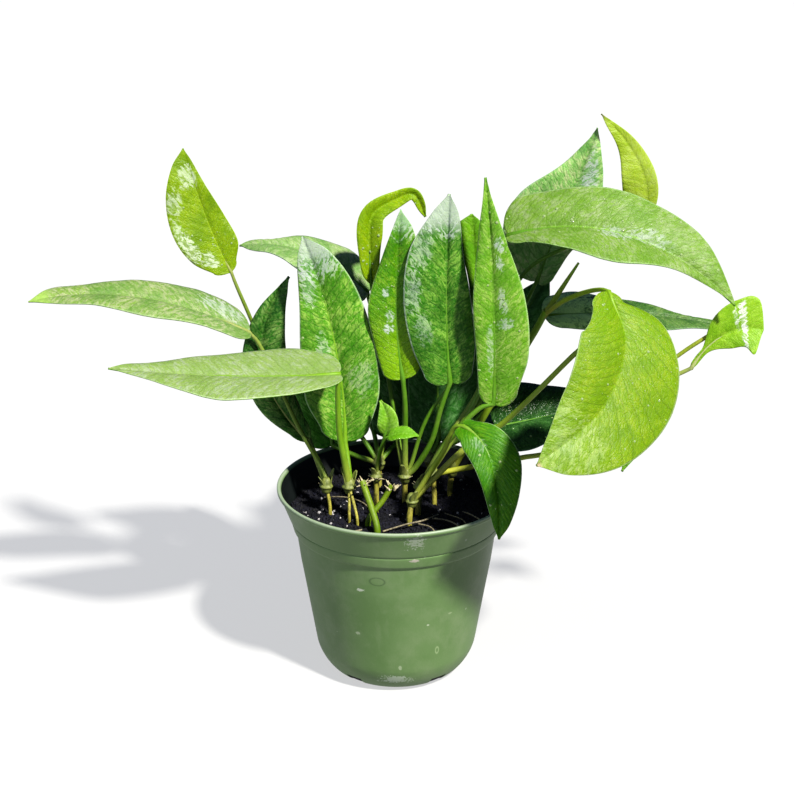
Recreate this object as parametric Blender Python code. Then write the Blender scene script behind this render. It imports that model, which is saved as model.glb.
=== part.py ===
"""Potted cebu blue pothos: pot, potting soil, leafy shoots and stem cuttings.

Metres, +Z up. The origin is the centre of the pot's base on the surface that it
stands on. -Y is the front and +X the right hand side, seen from the front.
Sizes in the tables are millimetres, turned into metres where a mesh is made.
"""
import math
import random
from dataclasses import dataclass

import bpy
import bmesh
from mathutils import Matrix, Vector

MM = 0.001
GAP = 0.3
SEED = 7

# Pot: a thin nursery pot with a flared band, a rolled lip and drain slots
POT_HEIGHT = 90.0
POT_WALL = 1.2
POT_SIDES = 40
POT_SMOOTH_ANGLE = math.radians(35.0)
POT_OUTLINE = (
    (25.5, 0.0), (29.5, 1.4), (33.0, 5.0), (36.8, 12.5), (41.3, 40.0), (45.7, 69.5),
    (46.7, 70.0), (48.3, 75.2), (48.9, 75.8), (53.2, 88.2), (54.2, 88.6), (54.2, POT_HEIGHT),
)
POT_INSIDE = (
    (53.0, POT_HEIGHT), (51.9, 88.0), (47.4, 75.0), (45.6, 70.0), (44.4, 68.5),
    (40.1, 40.0), (35.6, 13.0), (31.8, 5.6), (28.7, 2.4), (25.0, POT_WALL),
)
SLOT_COUNT = 5
SLOT_SIZE = (8.0, 9.0, 6.4)
SLOT_RADIUS = 31.0
SLOT_MIDDLE_Z = 0.2
SLOT_FIRST_TURN = math.radians(36.0)

# Soil: fills the pot to 12 mm below the lip, with a crumbly top
SOIL_TOP = 78.0
SOIL_RINGS = 5
SOIL_SIDES = 30
SOIL_CRUMB = 1.1
SOIL_EDGE = 47.9
SOIL_SIDE = (
    (44.0, 69.3), (39.6, 40.0), (35.1, 13.2), (31.3, 6.0), (28.4, 2.8), (24.6, POT_WALL + GAP),
)
HOLE_EXTRA = 6.0
HOLE_ROOM = 0.6
HOLE_SIDES = 12
HOLE_LEVEL_MARGIN = 3.0

# Plant: blade thickness, mesh density and how far a root reaches into the soil
BLADE_THICKNESS = 0.75
BLADE_ROWS = (0.0, 0.05, 0.14, 0.28, 0.44, 0.61, 0.78, 0.91, 1.0)
BLADE_COLUMNS = 6
STATIONS = (0.0, 0.08, 0.25, 0.5, 0.75, 0.92, 1.0)
TUBE_SIDES = 5
TUBE_STEP = 12.0
ROOT_DEPTH = 14.0
MOUTH_HEIGHT = 4.0
TIP_WIDTH = 0.4
LOBE_PEAK = 0.7
RIB_STEP = 0.002
PETIOLE_START = 0.12
PETIOLE_START_RADIUS = 0.5
KNOB_STRETCH = 1.25
TUBE_FIRST_NORMAL = (1.0, 0.23, 0.11)

POT_GREEN = (0.115, 0.212, 0.077)
SOIL_BLACK = (0.012, 0.010, 0.014)
LEAF_LIME = (0.33, 0.58, 0.03)
LEAF_GREEN = (0.085, 0.30, 0.025)
LEAF_PALE = (0.27, 0.48, 0.12)
LEAF_DEEP = (0.02, 0.11, 0.03)
STEM_GREEN = (0.21, 0.36, 0.04)
POT_ROUGHNESS = 0.42
SOIL_ROUGHNESS = 0.95
LEAF_ROUGHNESS = 0.38

FACING_FRONT = (0.0, -0.93, 0.3)
FACING_UP = (0.0, -0.25, 1.0)


@dataclass(frozen=True)
class Leaf:
    """One leaf: its rib from petiole to tip, half widths along it, and its petiole.

    right and left are half widths at the STATIONS along the rib before the tip, seen from
    above the upper face with the tip away. lobes are how far the two basal lobes reach back.
    across, where given, is the direction of the blade's width instead of facing. fold is
    how far each half is lifted from flat, in degrees. girth is the petiole's radius at
    the blade and at the crown.
    """

    rib: tuple
    right: tuple
    left: tuple
    petiole: tuple
    facing: tuple = FACING_FRONT
    across: tuple = ()
    lobes: tuple = (2.0, 2.0)
    fold: float = 8.0
    girth: tuple = (0.8, 1.4)


@dataclass(frozen=True)
class Shoot:
    """One rooted shoot: its crown above the soil, roots, extra stems and leaves."""

    crown: tuple
    knob: float
    roots: tuple
    colour: tuple
    leaves: dict
    stems: tuple = ()


def metres(point):
    """Turn a point in millimetres into a vector in metres."""
    return Vector(point) * MM


def along(points, share):
    """Point at a share from 0 to 1 of the smooth curve through the given points."""
    points = [Vector(point) for point in points]
    spans = len(points) - 1
    if spans == 1:
        return points[0].lerp(points[1], share)
    if spans == 2:
        handle = points[1] * 2 - (points[0] + points[2]) / 2
        start, end = points[0] * (1 - share) ** 2, points[2] * share**2
        return start + handle * 2 * share * (1 - share) + end
    ends = [points[0] * 2 - points[1]] + points + [points[-1] * 2 - points[-2]]
    span = min(int(share * spans), spans - 1)
    return catmull_rom(ends[span:span + 4], share * spans - span)


def catmull_rom(four, share):
    """Blend four neighbouring values with the Catmull-Rom weights."""
    before, start, end, after = four
    return 0.5 * (
        start * 2
        + (end - before) * share
        + (before * 2 - start * 5 + end * 4 - after) * share**2
        + (start * 3 - before - end * 3 + after) * share**3
    )


def half_width(stations, share):
    """Half width at a share of the rib: a round base, then a smooth run to the tip."""
    values = (*stations, 0.0)
    if share < STATIONS[1]:
        rise = math.sqrt(1 - (1 - share / STATIONS[1]) ** 2)
        return values[0] + (values[1] - values[0]) * rise
    last = len(STATIONS) - 1
    span = max(place for place in range(1, last) if STATIONS[place] <= share)
    slopes = []
    for place in (span, span + 1):
        before, after = max(place - 1, 1), min(place + 1, last)
        slopes.append((values[after] - values[before]) / (STATIONS[after] - STATIONS[before]))
    reach = STATIONS[span + 1] - STATIONS[span]
    t = (share - STATIONS[span]) / reach
    start, end = values[span], values[span + 1]
    width = (
        start * (1 + 2 * t) * (1 - t) ** 2 + end * (3 - 2 * t) * t**2
        + reach * (slopes[0] * t * (1 - t) ** 2 - slopes[1] * (1 - t) * t**2)
    )
    return max(width, TIP_WIDTH)


def rib_frame(leaf, share):
    """Place on the rib with its forward, outward (upper face) and sideways directions."""
    place = along(leaf.rib, share)
    ahead = along(leaf.rib, min(share + RIB_STEP, 1))
    forward = (ahead - along(leaf.rib, max(share - RIB_STEP, 0))).normalized()
    if leaf.across:
        side = Vector(leaf.across)
        side = (side - forward * side.dot(forward)).normalized()
        return place, forward, side.cross(forward), side
    out = Vector(leaf.facing)
    out = (out - forward * out.dot(forward)).normalized()
    return place, forward, out, forward.cross(out)


def blade_point(leaf, share, reach):
    """Point of the upper face at a share of the rib and a reach from -1 (left) to 1."""
    place, forward, out, side = rib_frame(leaf, share)
    right = reach > 0
    spread = abs(reach)
    width = half_width(leaf.right if right else leaf.left, share) * spread
    lobe = leaf.lobes[0 if right else 1]
    steepness = 1 if spread < LOBE_PEAK else 2
    back = lobe * (1 - share) ** 4 * (1 - steepness * (1 - spread / LOBE_PEAK) ** 2)
    lift = width * math.sin(math.radians(leaf.fold))
    sideways = math.copysign(width * math.cos(math.radians(leaf.fold)), reach)
    return place - forward * back + side * sideways + out * lift


def grid_normals(grid):
    """Outward direction at each point of a grid, from its neighbours."""
    last_row, last_column = len(grid) - 1, len(grid[0]) - 1
    normals = []
    for i, row in enumerate(grid):
        normals.append([])
        for j in range(len(row)):
            forward = grid[min(i + 1, last_row)][j] - grid[max(i - 1, 0)][j]
            side = row[min(j + 1, last_column)] - row[max(j - 1, 0)]
            normals[-1].append(side.cross(forward).normalized())
    return normals


def blade_mesh(leaf):
    """Closed thin blade, split into triangles alike on both faces."""
    rows, columns = len(BLADE_ROWS) - 1, BLADE_COLUMNS
    grid = [
        [blade_point(leaf, share, 2 * j / columns - 1) for j in range(columns + 1)]
        for share in BLADE_ROWS
    ]
    normals = grid_normals(grid)
    mesh = bmesh.new()
    upper = [[mesh.verts.new(point * MM) for point in row] for row in grid]
    under = [
        [mesh.verts.new((point - out * BLADE_THICKNESS) * MM) for point, out in zip(row, outs)]
        for row, outs in zip(grid, normals)
    ]
    for i in range(rows):
        for j in range(columns):
            corners = ((i, j), (i, j + 1), (i + 1, j + 1), (i + 1, j))
            turned = corners if j >= columns // 2 else corners[1:] + corners[:1]
            for face in ((turned[0], turned[1], turned[2]), (turned[0], turned[2], turned[3])):
                mesh.faces.new([upper[a][b] for a, b in face])
                mesh.faces.new([under[a][b] for a, b in reversed(face)])
    rim = [(i, 0) for i in range(rows)] + [(rows, j) for j in range(columns)]
    rim += [(rows - i, columns) for i in range(rows)] + [(0, columns - j) for j in range(columns)]
    for (a, b), (c, d) in zip(rim, rim[1:] + rim[:1]):
        mesh.faces.new((upper[a][b], under[a][b], under[c][d]))
        mesh.faces.new((upper[a][b], under[c][d], upper[c][d]))
    bmesh.ops.recalc_face_normals(mesh, faces=mesh.faces)
    return mesh


def tube_mesh(route, radii):
    """Closed round tube along a smooth route, its radius running from first to last."""
    spans = len(route) - 1
    shares = []
    for number, (start, end) in enumerate(zip(route, route[1:])):
        cuts = max(1, round((Vector(end) - Vector(start)).length / TUBE_STEP))
        shares += [(number + cut / cuts) / spans for cut in range(cuts)]
    shares.append(1.0)
    places = [along(route, share) for share in shares]
    steps = len(shares) - 1
    mesh = bmesh.new()
    normal = Vector(TUBE_FIRST_NORMAL)
    rings = []
    for k, place in enumerate(places):
        forward = (places[min(k + 1, steps)] - places[max(k - 1, 0)]).normalized()
        normal = (normal - forward * normal.dot(forward)).normalized()
        side = forward.cross(normal)
        radius = along([(value, 0, 0) for value in radii], shares[k]).x
        turns = [2 * math.pi * n / TUBE_SIDES for n in range(TUBE_SIDES)]
        rings.append([
            mesh.verts.new((place + (normal * math.cos(turn) + side * math.sin(turn)) * radius) * MM)
            for turn in turns
        ])
    for ring, following in zip(rings, rings[1:]):
        for n in range(TUBE_SIDES):
            m = (n + 1) % TUBE_SIDES
            mesh.faces.new((ring[n], ring[m], following[m], following[n]))
    mesh.faces.new(list(reversed(rings[0])))
    mesh.faces.new(rings[-1])
    bmesh.ops.recalc_face_normals(mesh, faces=mesh.faces)
    return mesh


def knob_mesh(centre, radius):
    """Swollen node where petioles and roots meet."""
    mesh = bmesh.new()
    bmesh.ops.create_icosphere(mesh, subdivisions=1, radius=radius * MM)
    stretch = Matrix.Diagonal((1.0, 1.0, KNOB_STRETCH, 1.0))
    bmesh.ops.transform(mesh, matrix=Matrix.Translation(metres(centre)) @ stretch, verts=mesh.verts)
    return mesh


def material(name, colour, roughness):
    """Principled material of one colour."""
    made = bpy.data.materials.new(name)
    made.use_nodes = True
    shader = made.node_tree.nodes["Principled BSDF"]
    shader.inputs["Base Color"].default_value = (*colour, 1.0)
    shader.inputs["Roughness"].default_value = roughness
    shader.inputs["Metallic"].default_value = 0.0
    return made


def add_object(name, mesh, made=None):
    """Make a named object from a bmesh, and give it its material."""
    data = bpy.data.meshes.new(name)
    mesh.to_mesh(data)
    mesh.free()
    item = bpy.data.objects.new(name, data)
    bpy.context.scene.collection.objects.link(item)
    if made:
        data.materials.append(made)
    return item


def keep_as_cutter(item):
    """Mark an object as a tool that isn't part of the model."""
    item.hide_render = True
    item.display_type = "WIRE"


def lathe_mesh(outline, sides):
    """Closed turned body from an outline of radius and height that ends on the axis."""
    mesh = bmesh.new()
    foot = mesh.verts.new(metres((0, 0, outline[0][1])))
    head = mesh.verts.new(metres((0, 0, outline[-1][1])))
    rings = []
    for radius, height in outline:
        turns = [2 * math.pi * n / sides for n in range(sides)]
        rings.append([
            mesh.verts.new(metres((radius * math.cos(turn), radius * math.sin(turn), height)))
            for turn in turns
        ])
    for n in range(sides):
        m = (n + 1) % sides
        mesh.faces.new((foot, rings[0][m], rings[0][n]))
        mesh.faces.new((head, rings[-1][n], rings[-1][m]))
        for ring, following in zip(rings, rings[1:]):
            mesh.faces.new((ring[n], ring[m], following[m], following[n]))
    bmesh.ops.recalc_face_normals(mesh, faces=mesh.faces)
    return mesh


def make_pot():
    """Thin flared pot with drain slots round the edge of its base."""
    body = lathe_mesh(POT_OUTLINE + POT_INSIDE, POT_SIDES)
    pot = add_object("pot", body, material("pot_plastic", POT_GREEN, POT_ROUGHNESS))
    for number in range(SLOT_COUNT):
        turn = SLOT_FIRST_TURN + 2 * math.pi * number / SLOT_COUNT
        mesh = bmesh.new()
        size = Matrix.Diagonal((*(value * MM for value in SLOT_SIZE), 1.0))
        place = Matrix.Translation(metres((0.0, -SLOT_RADIUS, SLOT_MIDDLE_Z)))
        bmesh.ops.create_cube(mesh, size=1.0, matrix=Matrix.Rotation(turn, 4, "Z") @ place @ size)
        cutter = add_object(f"slot_cutter_{number + 1}", mesh)
        keep_as_cutter(cutter)
        cut = pot.modifiers.new(f"slot_{number + 1}", "BOOLEAN")
        cut.operation = "DIFFERENCE"
        cut.object = cutter
    pot.data.shade_smooth()
    pot.data.set_sharp_from_angle(angle=POT_SMOOTH_ANGLE)
    return pot


def soil_mesh(holes):
    """Body of soil that fills the pot, with a crumbly top that is flat round each hole."""
    draw = random.Random(SEED)
    mesh = bmesh.new()
    foot = mesh.verts.new(metres((0, 0, SOIL_SIDE[-1][1])))
    crest = mesh.verts.new(metres((0, 0, SOIL_TOP)))
    rings = []
    for number in range(1, SOIL_RINGS + 1):
        radius = SOIL_EDGE * number / SOIL_RINGS
        ring = []
        for n in range(SOIL_SIDES):
            turn = 2 * math.pi * (n + 0.5 * (number % 2)) / SOIL_SIDES
            place = Vector((radius * math.cos(turn), radius * math.sin(turn), 0))
            level = number == SOIL_RINGS or any(
                (place.xy - Vector(spot[:2])).length < spot[2] + HOLE_LEVEL_MARGIN for spot in holes
            )
            crumb = 0 if level else draw.uniform(-SOIL_CRUMB, SOIL_CRUMB)
            ring.append(mesh.verts.new(metres((place.x, place.y, SOIL_TOP + crumb))))
        rings.append(ring)
    for radius, height in SOIL_SIDE:
        start = 0.5 * (SOIL_RINGS % 2)
        turns = [2 * math.pi * (n + start) / SOIL_SIDES for n in range(SOIL_SIDES)]
        rings.append([
            mesh.verts.new(metres((radius * math.cos(turn), radius * math.sin(turn), height)))
            for turn in turns
        ])
    for n in range(SOIL_SIDES):
        m = (n + 1) % SOIL_SIDES
        mesh.faces.new((crest, rings[0][n], rings[0][m]))
        mesh.faces.new((foot, rings[-1][m], rings[-1][n]))
        for ring, following in zip(rings, rings[1:]):
            mesh.faces.new((ring[n], following[n], ring[m]))
            mesh.faces.new((ring[m], following[n], following[m]))
    bmesh.ops.recalc_face_normals(mesh, faces=mesh.faces)
    return mesh


def make_soil(holes):
    """Soil with one plain round hole for each root and cutting."""
    soil = add_object("soil", soil_mesh(holes), material("potting_soil", SOIL_BLACK, SOIL_ROUGHNESS))
    cutters = bpy.data.collections.new("hole_cutters")
    bpy.context.scene.collection.children.link(cutters)
    for number, (x, y, radius) in enumerate(holes):
        mesh = bmesh.new()
        depth = ROOT_DEPTH + GAP + HOLE_EXTRA
        place = Matrix.Translation(metres((x, y, SOIL_TOP - ROOT_DEPTH - GAP + depth / 2)))
        bmesh.ops.create_cone(
            mesh, cap_ends=True, segments=HOLE_SIDES, radius1=(radius + HOLE_ROOM) * MM,
            radius2=(radius + HOLE_ROOM) * MM, depth=depth * MM, matrix=place,
        )
        cutter = add_object(f"hole_cutter_{number + 1}", mesh)
        keep_as_cutter(cutter)
        cutters.objects.link(cutter)
    cut = soil.modifiers.new("holes", "BOOLEAN")
    cut.operation = "DIFFERENCE"
    cut.operand_type = "COLLECTION"
    cut.collection = cutters
    return soil


def join_parts(name, meshes, made):
    """Fuse closed meshes into one named object with a Boolean union that is applied."""
    whole = add_object(name, meshes[0], made)
    group = bpy.data.collections.new(f"{name}_parts")
    bpy.context.scene.collection.children.link(group)
    parts = []
    for number, mesh in enumerate(meshes[1:]):
        part = add_object(f"{name}_part_{number + 1}", mesh)
        group.objects.link(part)
        parts.append(part)
    union = whole.modifiers.new("union", "BOOLEAN")
    union.operation = "UNION"
    union.operand_type = "COLLECTION"
    union.collection = group
    evaluated = whole.evaluated_get(bpy.context.evaluated_depsgraph_get())
    fused = bpy.data.meshes.new_from_object(evaluated)
    whole.modifiers.clear()
    whole.data = fused
    for part in parts:
        bpy.data.objects.remove(part)
    bpy.data.collections.remove(group)
    return whole


def root_route(crown, spot):
    """Route of a root from the crown, bowing out over the soil and straight down its hole."""
    top = Vector(crown)
    mouth = Vector((spot[0], spot[1], SOIL_TOP + MOUTH_HEIGHT))
    floor = Vector((spot[0], spot[1], SOIL_TOP - ROOT_DEPTH))
    return [top, mouth, mouth.lerp(floor, 0.5), floor]


def make_shoot(name, shoot):
    """Leaves, petioles, crown and roots of one shoot, grown together as one body."""
    meshes = [knob_mesh(shoot.crown, shoot.knob)]
    for spot in shoot.roots:
        meshes.append(tube_mesh(root_route(shoot.crown, spot), (spot[2], spot[2])))
    for route, girth in shoot.stems:
        meshes.append(tube_mesh(route, girth))
    for leaf in shoot.leaves.values():
        meshes.append(blade_mesh(leaf))
        inside = along(leaf.rib, PETIOLE_START)
        route = [inside, Vector(leaf.rib[0])] + [Vector(point) for point in leaf.petiole]
        meshes.append(tube_mesh(route, (PETIOLE_START_RADIUS, *leaf.girth)))
    return join_parts(name, meshes, material(f"{name}_green", shoot.colour, LEAF_ROUGHNESS))


SHOOTS = {
    "shoot_left": Shoot(
        crown=(-31.5, -5, 91), knob=3.0, roots=((-30, -7, 1.1),), colour=LEAF_PALE,
        leaves={
            "lime_upright": Leaf(
                rib=((-74, 24, 183), (-84, 26, 206), (-94, 30, 238)), facing=(0.1, -0.85, 0.5),
                right=(2, 4.5, 9, 8, 4.5, 2), left=(2.5, 7.5, 14, 17, 14, 7), lobes=(0, 0), fold=6,
                petiole=(
                    (-72, 24, 177), (-68, 25, 166), (-62, 27, 150),
                    (-48, 26, 124), (-37, 10, 99), (-31.5, -5, 91),
                ),
            ),
            "long_outer": Leaf(
                rib=((-66, 14, 158), (-113, 6, 177), (-161, 0, 177)), facing=FACING_UP,
                right=(5, 13, 16.5, 12, 8.5, 5.5), left=(6.5, 10.5, 13.5, 15.5, 10, 4.5),
                lobes=(1, 2), fold=4,
                petiole=((-60, 14, 149), (-45, 8, 116), (-33, -1, 97), (-31.5, -5, 91)),
                girth=(0.9, 1.5),
            ),
            "dark_upright": Leaf(
                rib=((-40, 14, 105), (-61, 17, 143), (-48, 20, 182)), facing=(-0.1, -0.9, 0.3),
                right=(2.5, 6, 9, 12, 10, 4.5), left=(2, 4, 8.5, 8.5, 5.5, 1.5), lobes=(0, 0),
                petiole=((-36, 6, 100), (-32, -3, 93), (-31.5, -5, 91)), girth=(1.1, 1.4),
            ),
        },
    ),
    "shoot_front_left": Shoot(
        crown=(-21, -10, 93), knob=3.1, roots=((-21, -16, 0.9), (-17.5, -19, 0.9)), colour=LEAF_PALE,
        leaves={
            "long_front": Leaf(
                rib=((-25, -16, 149), (-74, -18, 149), (-124, -22, 154)), facing=FACING_UP,
                right=(9.5, 15.5, 19.5, 15.5, 9, 4), left=(6.5, 11, 17, 20, 11, 3), lobes=(2, 3), fold=4,
                petiole=(
                    (-25.5, -14, 136), (-25, -12, 119),
                    (-23, -11, 106), (-21, -10, 93),
                ),
                girth=(1.2, 2.0),
            ),
            "large_upright": Leaf(
                rib=((-23, -2, 112), (-27, 4, 155), (-41, 8, 204)),
                right=(3, 8, 15, 17, 15, 8.5), left=(4.5, 11, 17, 16, 10.5, 5.5), lobes=(1, 1),
                petiole=((-22, -4, 105), (-21, -8, 97), (-21, -10, 93)), girth=(1.2, 1.8),
            ),
        },
    ),
    "shoot_centre": Shoot(
        crown=(4, 4, 92), knob=3.0, roots=((4, 4, 1.6),), colour=LEAF_GREEN,
        leaves={
            "spotted_upright": Leaf(
                rib=((3, 0, 141), (0, 4, 174), (2, 8, 216)),
                right=(3.5, 8.5, 11.5, 12.5, 10.5, 6), left=(3.5, 8.5, 10.5, 12.5, 7, 2.5), lobes=(1, 1),
                petiole=((4, 1, 128), (4, 3, 112), (4, 4, 92)), girth=(1.2, 1.7),
            ),
            "broad_upright": Leaf(
                rib=((24, -2, 140), (22, 2, 177), (23, 8, 223)),
                right=(7, 12, 12.5, 11, 7, 4.5), left=(7, 12, 16, 19, 16.5, 7), lobes=(2, 2),
                petiole=((20, -1, 127), (16, 0, 111), (9, 3, 97), (4, 4, 92)), girth=(1.2, 1.7),
            ),
            "sliver_upright": Leaf(
                rib=((38, 8, 158), (35, 10, 188), (33, 12, 213)),
                right=(2, 4.5, 5, 5.5, 5, 4), left=(1.5, 2.5, 3, 4, 6.5, 6.5), lobes=(1, 1),
                petiole=(
                    (37, 8, 150), (23, 5, 134), (13, 5, 118),
                    (7, 5, 98), (4, 4, 92),
                ),
                girth=(0.9, 1.2),
            ),
            "rolled_young": Leaf(
                rib=(
                    (-11, 16, 180), (-12, 18, 200), (-10, 20, 211),
                    (0, 22, 217), (8, 22, 219), (13, 22, 209),
                ),
                right=(2, 4.5, 6.5, 5, 3, 2), left=(2, 4.5, 6, 4.5, 3, 2), lobes=(0, 0), fold=24,
                petiole=(
                    (-10, 16, 172), (-7, 15, 156), (-2, 10, 127),
                    (1, 6, 106), (4, 4, 92),
                ),
                girth=(0.9, 1.2),
            ),
            "rear_horizontal": Leaf(
                rib=((-13, 30, 172), (-41, 33, 190), (-71, 36, 192)), facing=FACING_UP,
                right=(7.5, 12.5, 16.5, 11.5, 5, 3), left=(9.5, 15.5, 18.5, 16.5, 10, 5),
                fold=4,
                petiole=(
                    (-12, 29, 167), (-6, 26, 145), (0, 14, 115),
                    (2, 7, 101), (4, 4, 92),
                ),
                girth=(1.0, 1.4),
            ),
        },
    ),
    "shoot_right": Shoot(
        crown=(11, -6, 91), knob=3.0, roots=((10, -8, 1.7),), colour=LEAF_GREEN,
        leaves={
            "tall_front": Leaf(
                rib=((43, -11, 133), (42, -9, 180), (38, -3, 233)),
                right=(6.5, 10.5, 15, 14, 7, 2), left=(4, 7, 8, 9, 5.5, 2), lobes=(2, 1),
                petiole=((37, -11, 131), (29, -11, 123), (20, -9, 110), (11, -6, 91)), girth=(1.2, 1.7),
            ),
            "long_arching": Leaf(
                rib=((48, -4, 208), (98, -14, 211), (144, -24, 183)), facing=(0.1, -0.55, 0.85),
                right=(5, 8, 16, 20.5, 8, 2), left=(11, 18, 19.5, 20, 15.5, 5.5), lobes=(2, 2), fold=12,
                petiole=(
                    (45, -2, 200), (44, 2, 177), (39, 0, 140),
                    (25, -4, 113), (11, -6, 91),
                ),
                girth=(1.0, 1.5),
            ),
            "rear_upright": Leaf(
                rib=((63, 20, 180), (75, 24, 212), (88, 26, 248)),
                right=(4, 6.5, 9, 15.5, 10.5, 4), left=(8, 13.5, 23, 21.5, 8.5, 2),
                lobes=(2, 2), fold=6,
                petiole=(
                    (60, 19, 174), (52, 17, 156), (41, 10, 132),
                    (25, 1, 110), (11, -6, 91),
                ),
                girth=(1.0, 1.4),
            ),
            "small_lime": Leaf(
                rib=((109, 18, 211), (107, 20, 232), (89, 22, 255)),
                right=(2, 4, 5, 5, 3.5, 1.2), left=(3.5, 8, 10.5, 9.5, 4.5, 2), lobes=(1, 1),
                petiole=(
                    (105, 17, 208), (90, 13, 203), (72, 11, 197), (57, 11, 187),
                    (47, 9, 168), (38, 5, 136), (24, -2, 114), (11, -6, 91),
                ),
                girth=(0.8, 1.4),
            ),
        },
    ),
    "vine_right": Shoot(
        crown=(26, 14, 91), knob=3.0, roots=((25, 14, 1.7),), colour=LEAF_LIME,
        stems=(
            (((26, 14, 91), (35, 12, 109), (49, 10, 136), (61, 6, 160), (66, 2, 172)), (1.7, 1.5)),
            (((65, 3, 169), (73, 0, 184), (79, -2, 195)), (1.5, 0.5)),
        ),
        leaves={
            "broad_hanging": Leaf(
                rib=((88, -40, 194), (94, -54, 176), (83, -72, 154), (56, -92, 138)),
                facing=(0.45, -0.75, 0.45), lobes=(1, 0),
                right=(4.5, 11, 20, 22, 17, 6), left=(2.5, 5, 20, 29, 22, 11),
                petiole=((85, -34, 193), (80, -22, 188), (73, -8, 180), (66, 2, 171)), girth=(1.0, 1.4),
            ),
            "rear_long": Leaf(
                rib=((66, 10, 167), (106, 16, 166), (150, 22, 158)), facing=FACING_UP,
                right=(5, 12.5, 14, 15, 9.5, 6), left=(6, 14, 16, 10, 4, 3), lobes=(1, 1), fold=4,
                petiole=((63, 8, 163), (60, 6, 158)), girth=(1.0, 1.2),
            ),
        },
    ),
    "shoot_front_right": Shoot(
        crown=(7, -17, 89), knob=2.8, roots=((6, -19, 1.6),), colour=LEAF_LIME,
        leaves={
            "hidden_hanging": Leaf(
                rib=((90, -24, 170), (104, -34, 148), (97, -40, 113)), facing=(0.1, -0.85, 0.5),
                right=(6, 10, 13, 12, 7, 2.5), left=(6, 10, 13, 12, 8, 2.5), lobes=(2, 2),
                petiole=(
                    (87, -24, 168), (78, -23, 162), (60, -20, 141),
                    (45, -18, 125), (30, -17, 114), (7, -17, 89),
                ),
                girth=(1.1, 1.7),
            ),
            "over_rim": Leaf(
                rib=((29, -30, 130), (41, -42, 118), (44, -55, 88)), facing=(0.1, -0.8, 0.5),
                right=(4, 6.5, 9, 8.5, 6, 3), left=(2.5, 4.5, 9, 12.5, 9, 4.5), lobes=(3, 2),
                petiole=((25, -27, 128), (21, -23, 116), (14, -19, 102), (7, -17, 89)), girth=(1.1, 1.5),
            ),
        },
    ),
    "runner_right": Shoot(
        crown=(17, 6, 92), knob=2.7, roots=((17.5, 4, 1.5),), colour=LEAF_LIME,
        stems=((((138, -15.5, 168.5), (126, -13, 159), (112, -12, 147), (98, -12, 135)), (0.9, 1.0)),),
        leaves={
            "folded_young": Leaf(
                rib=((128, -17, 152), (141, -17, 167), (158, -18, 170)),
                facing=(0.1, -0.9, 0.35), lobes=(0, 0), fold=10,
                right=(1.2, 1.4, 2, 6.5, 8, 11), left=(1.2, 1.4, 1.8, 9, 13, 12.5),
                petiole=(
                    (123, -16, 149), (98, -12, 135), (73, -6, 110),
                    (56, -1, 103), (34, 5, 96), (17, 6, 92),
                ),
                girth=(1.0, 1.6),
            ),
        },
    ),
    "shoot_small": Shoot(
        crown=(-9, -5, 96), knob=2.6, roots=((-9, -4, 1.5),), colour=LEAF_LIME,
        leaves={
            "curled_upper": Leaf(
                rib=((-5, -10, 118), (-4, -11, 126), (-7, -9, 134)),
                right=(1, 2.5, 4, 4, 3, 1), left=(1, 2.5, 3.5, 3.5, 2.5, 1), lobes=(0, 0), fold=20,
                petiole=((-6, -9, 113), (-8, -6, 104), (-9, -5, 96)), girth=(0.8, 1.0),
            ),
            "curled_side": Leaf(
                rib=((-4, -13, 118), (2, -16, 121), (10, -18, 121)), facing=(0, -0.5, 0.9),
                right=(1, 2.5, 4, 4, 3, 1), left=(1, 2.5, 3.5, 4, 3, 1), lobes=(0, 0), fold=12,
                petiole=((-7, -10, 111), (-9, -5, 96)), girth=(0.7, 1.0),
            ),
        },
    ),
    "shoot_back_left": Shoot(
        crown=(-8, 24, 90), knob=3.0, roots=((-8, 24, 1.8),), colour=LEAF_GREEN,
        leaves={
            "behind_large": Leaf(
                rib=((-30, 34, 95), (-33, 43, 128), (-31, 50, 163)),
                right=(8, 13, 15, 14, 9, 4), left=(8, 13, 15, 14, 9, 4),
                petiole=((-20, 29, 92), (-8, 24, 90)), girth=(1.2, 1.5),
            ),
            "back_middle": Leaf(
                rib=((3, 35, 98), (3, 40, 124), (2, 43, 152)),
                right=(6, 14, 16, 15, 10, 4), left=(6, 14, 16, 15, 10, 4), lobes=(1, 1),
                petiole=((-3, 30, 94), (-8, 24, 90)), girth=(1.2, 1.5),
            ),
            "over_back_rim": Leaf(
                rib=((-15, 46, 104), (-20, 72, 100), (-25, 92, 62)), facing=(0, 0.6, 0.8),
                right=(6.5, 11, 14, 13, 8, 2.5), left=(6.5, 11, 14, 13, 8, 2.5), lobes=(2, 2),
                petiole=((-11, 36, 102), (-9, 28, 96), (-8, 24, 90)), girth=(1.1, 1.5),
            ),
            "straight_back": Leaf(
                rib=((4, 46, 112), (6, 86, 124), (4, 126, 125)), facing=(0, -0.2, 1),
                right=(7, 12, 17, 16, 10, 3.5), left=(7, 12, 17, 16, 10, 3.5), lobes=(2, 2),
                petiole=((-2, 36, 108), (-6, 28, 98), (-8, 24, 90)), girth=(1.1, 1.5),
            ),
            "back_left": Leaf(
                rib=((-24, 40, 106), (-46, 72, 113), (-62, 106, 104)), facing=(0, 0.0, 1),
                right=(7, 11.5, 16, 15, 9, 3), left=(7, 11.5, 16, 15, 9, 3), lobes=(2, 2),
                petiole=((-17, 32, 101), (-11, 26, 94), (-8, 24, 90)), girth=(1.1, 1.5),
            ),
        },
    ),
    "shoot_back_right": Shoot(
        crown=(16, 27, 90), knob=3.0, roots=((16, 27, 1.8),), colour=LEAF_DEEP,
        leaves={
            "behind_broad": Leaf(
                rib=((20, 30, 99), (19, 42, 148), (19, 48, 198)),
                right=(9.5, 16, 19, 18, 11, 5), left=(8, 13, 14, 13, 9, 4),
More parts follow.
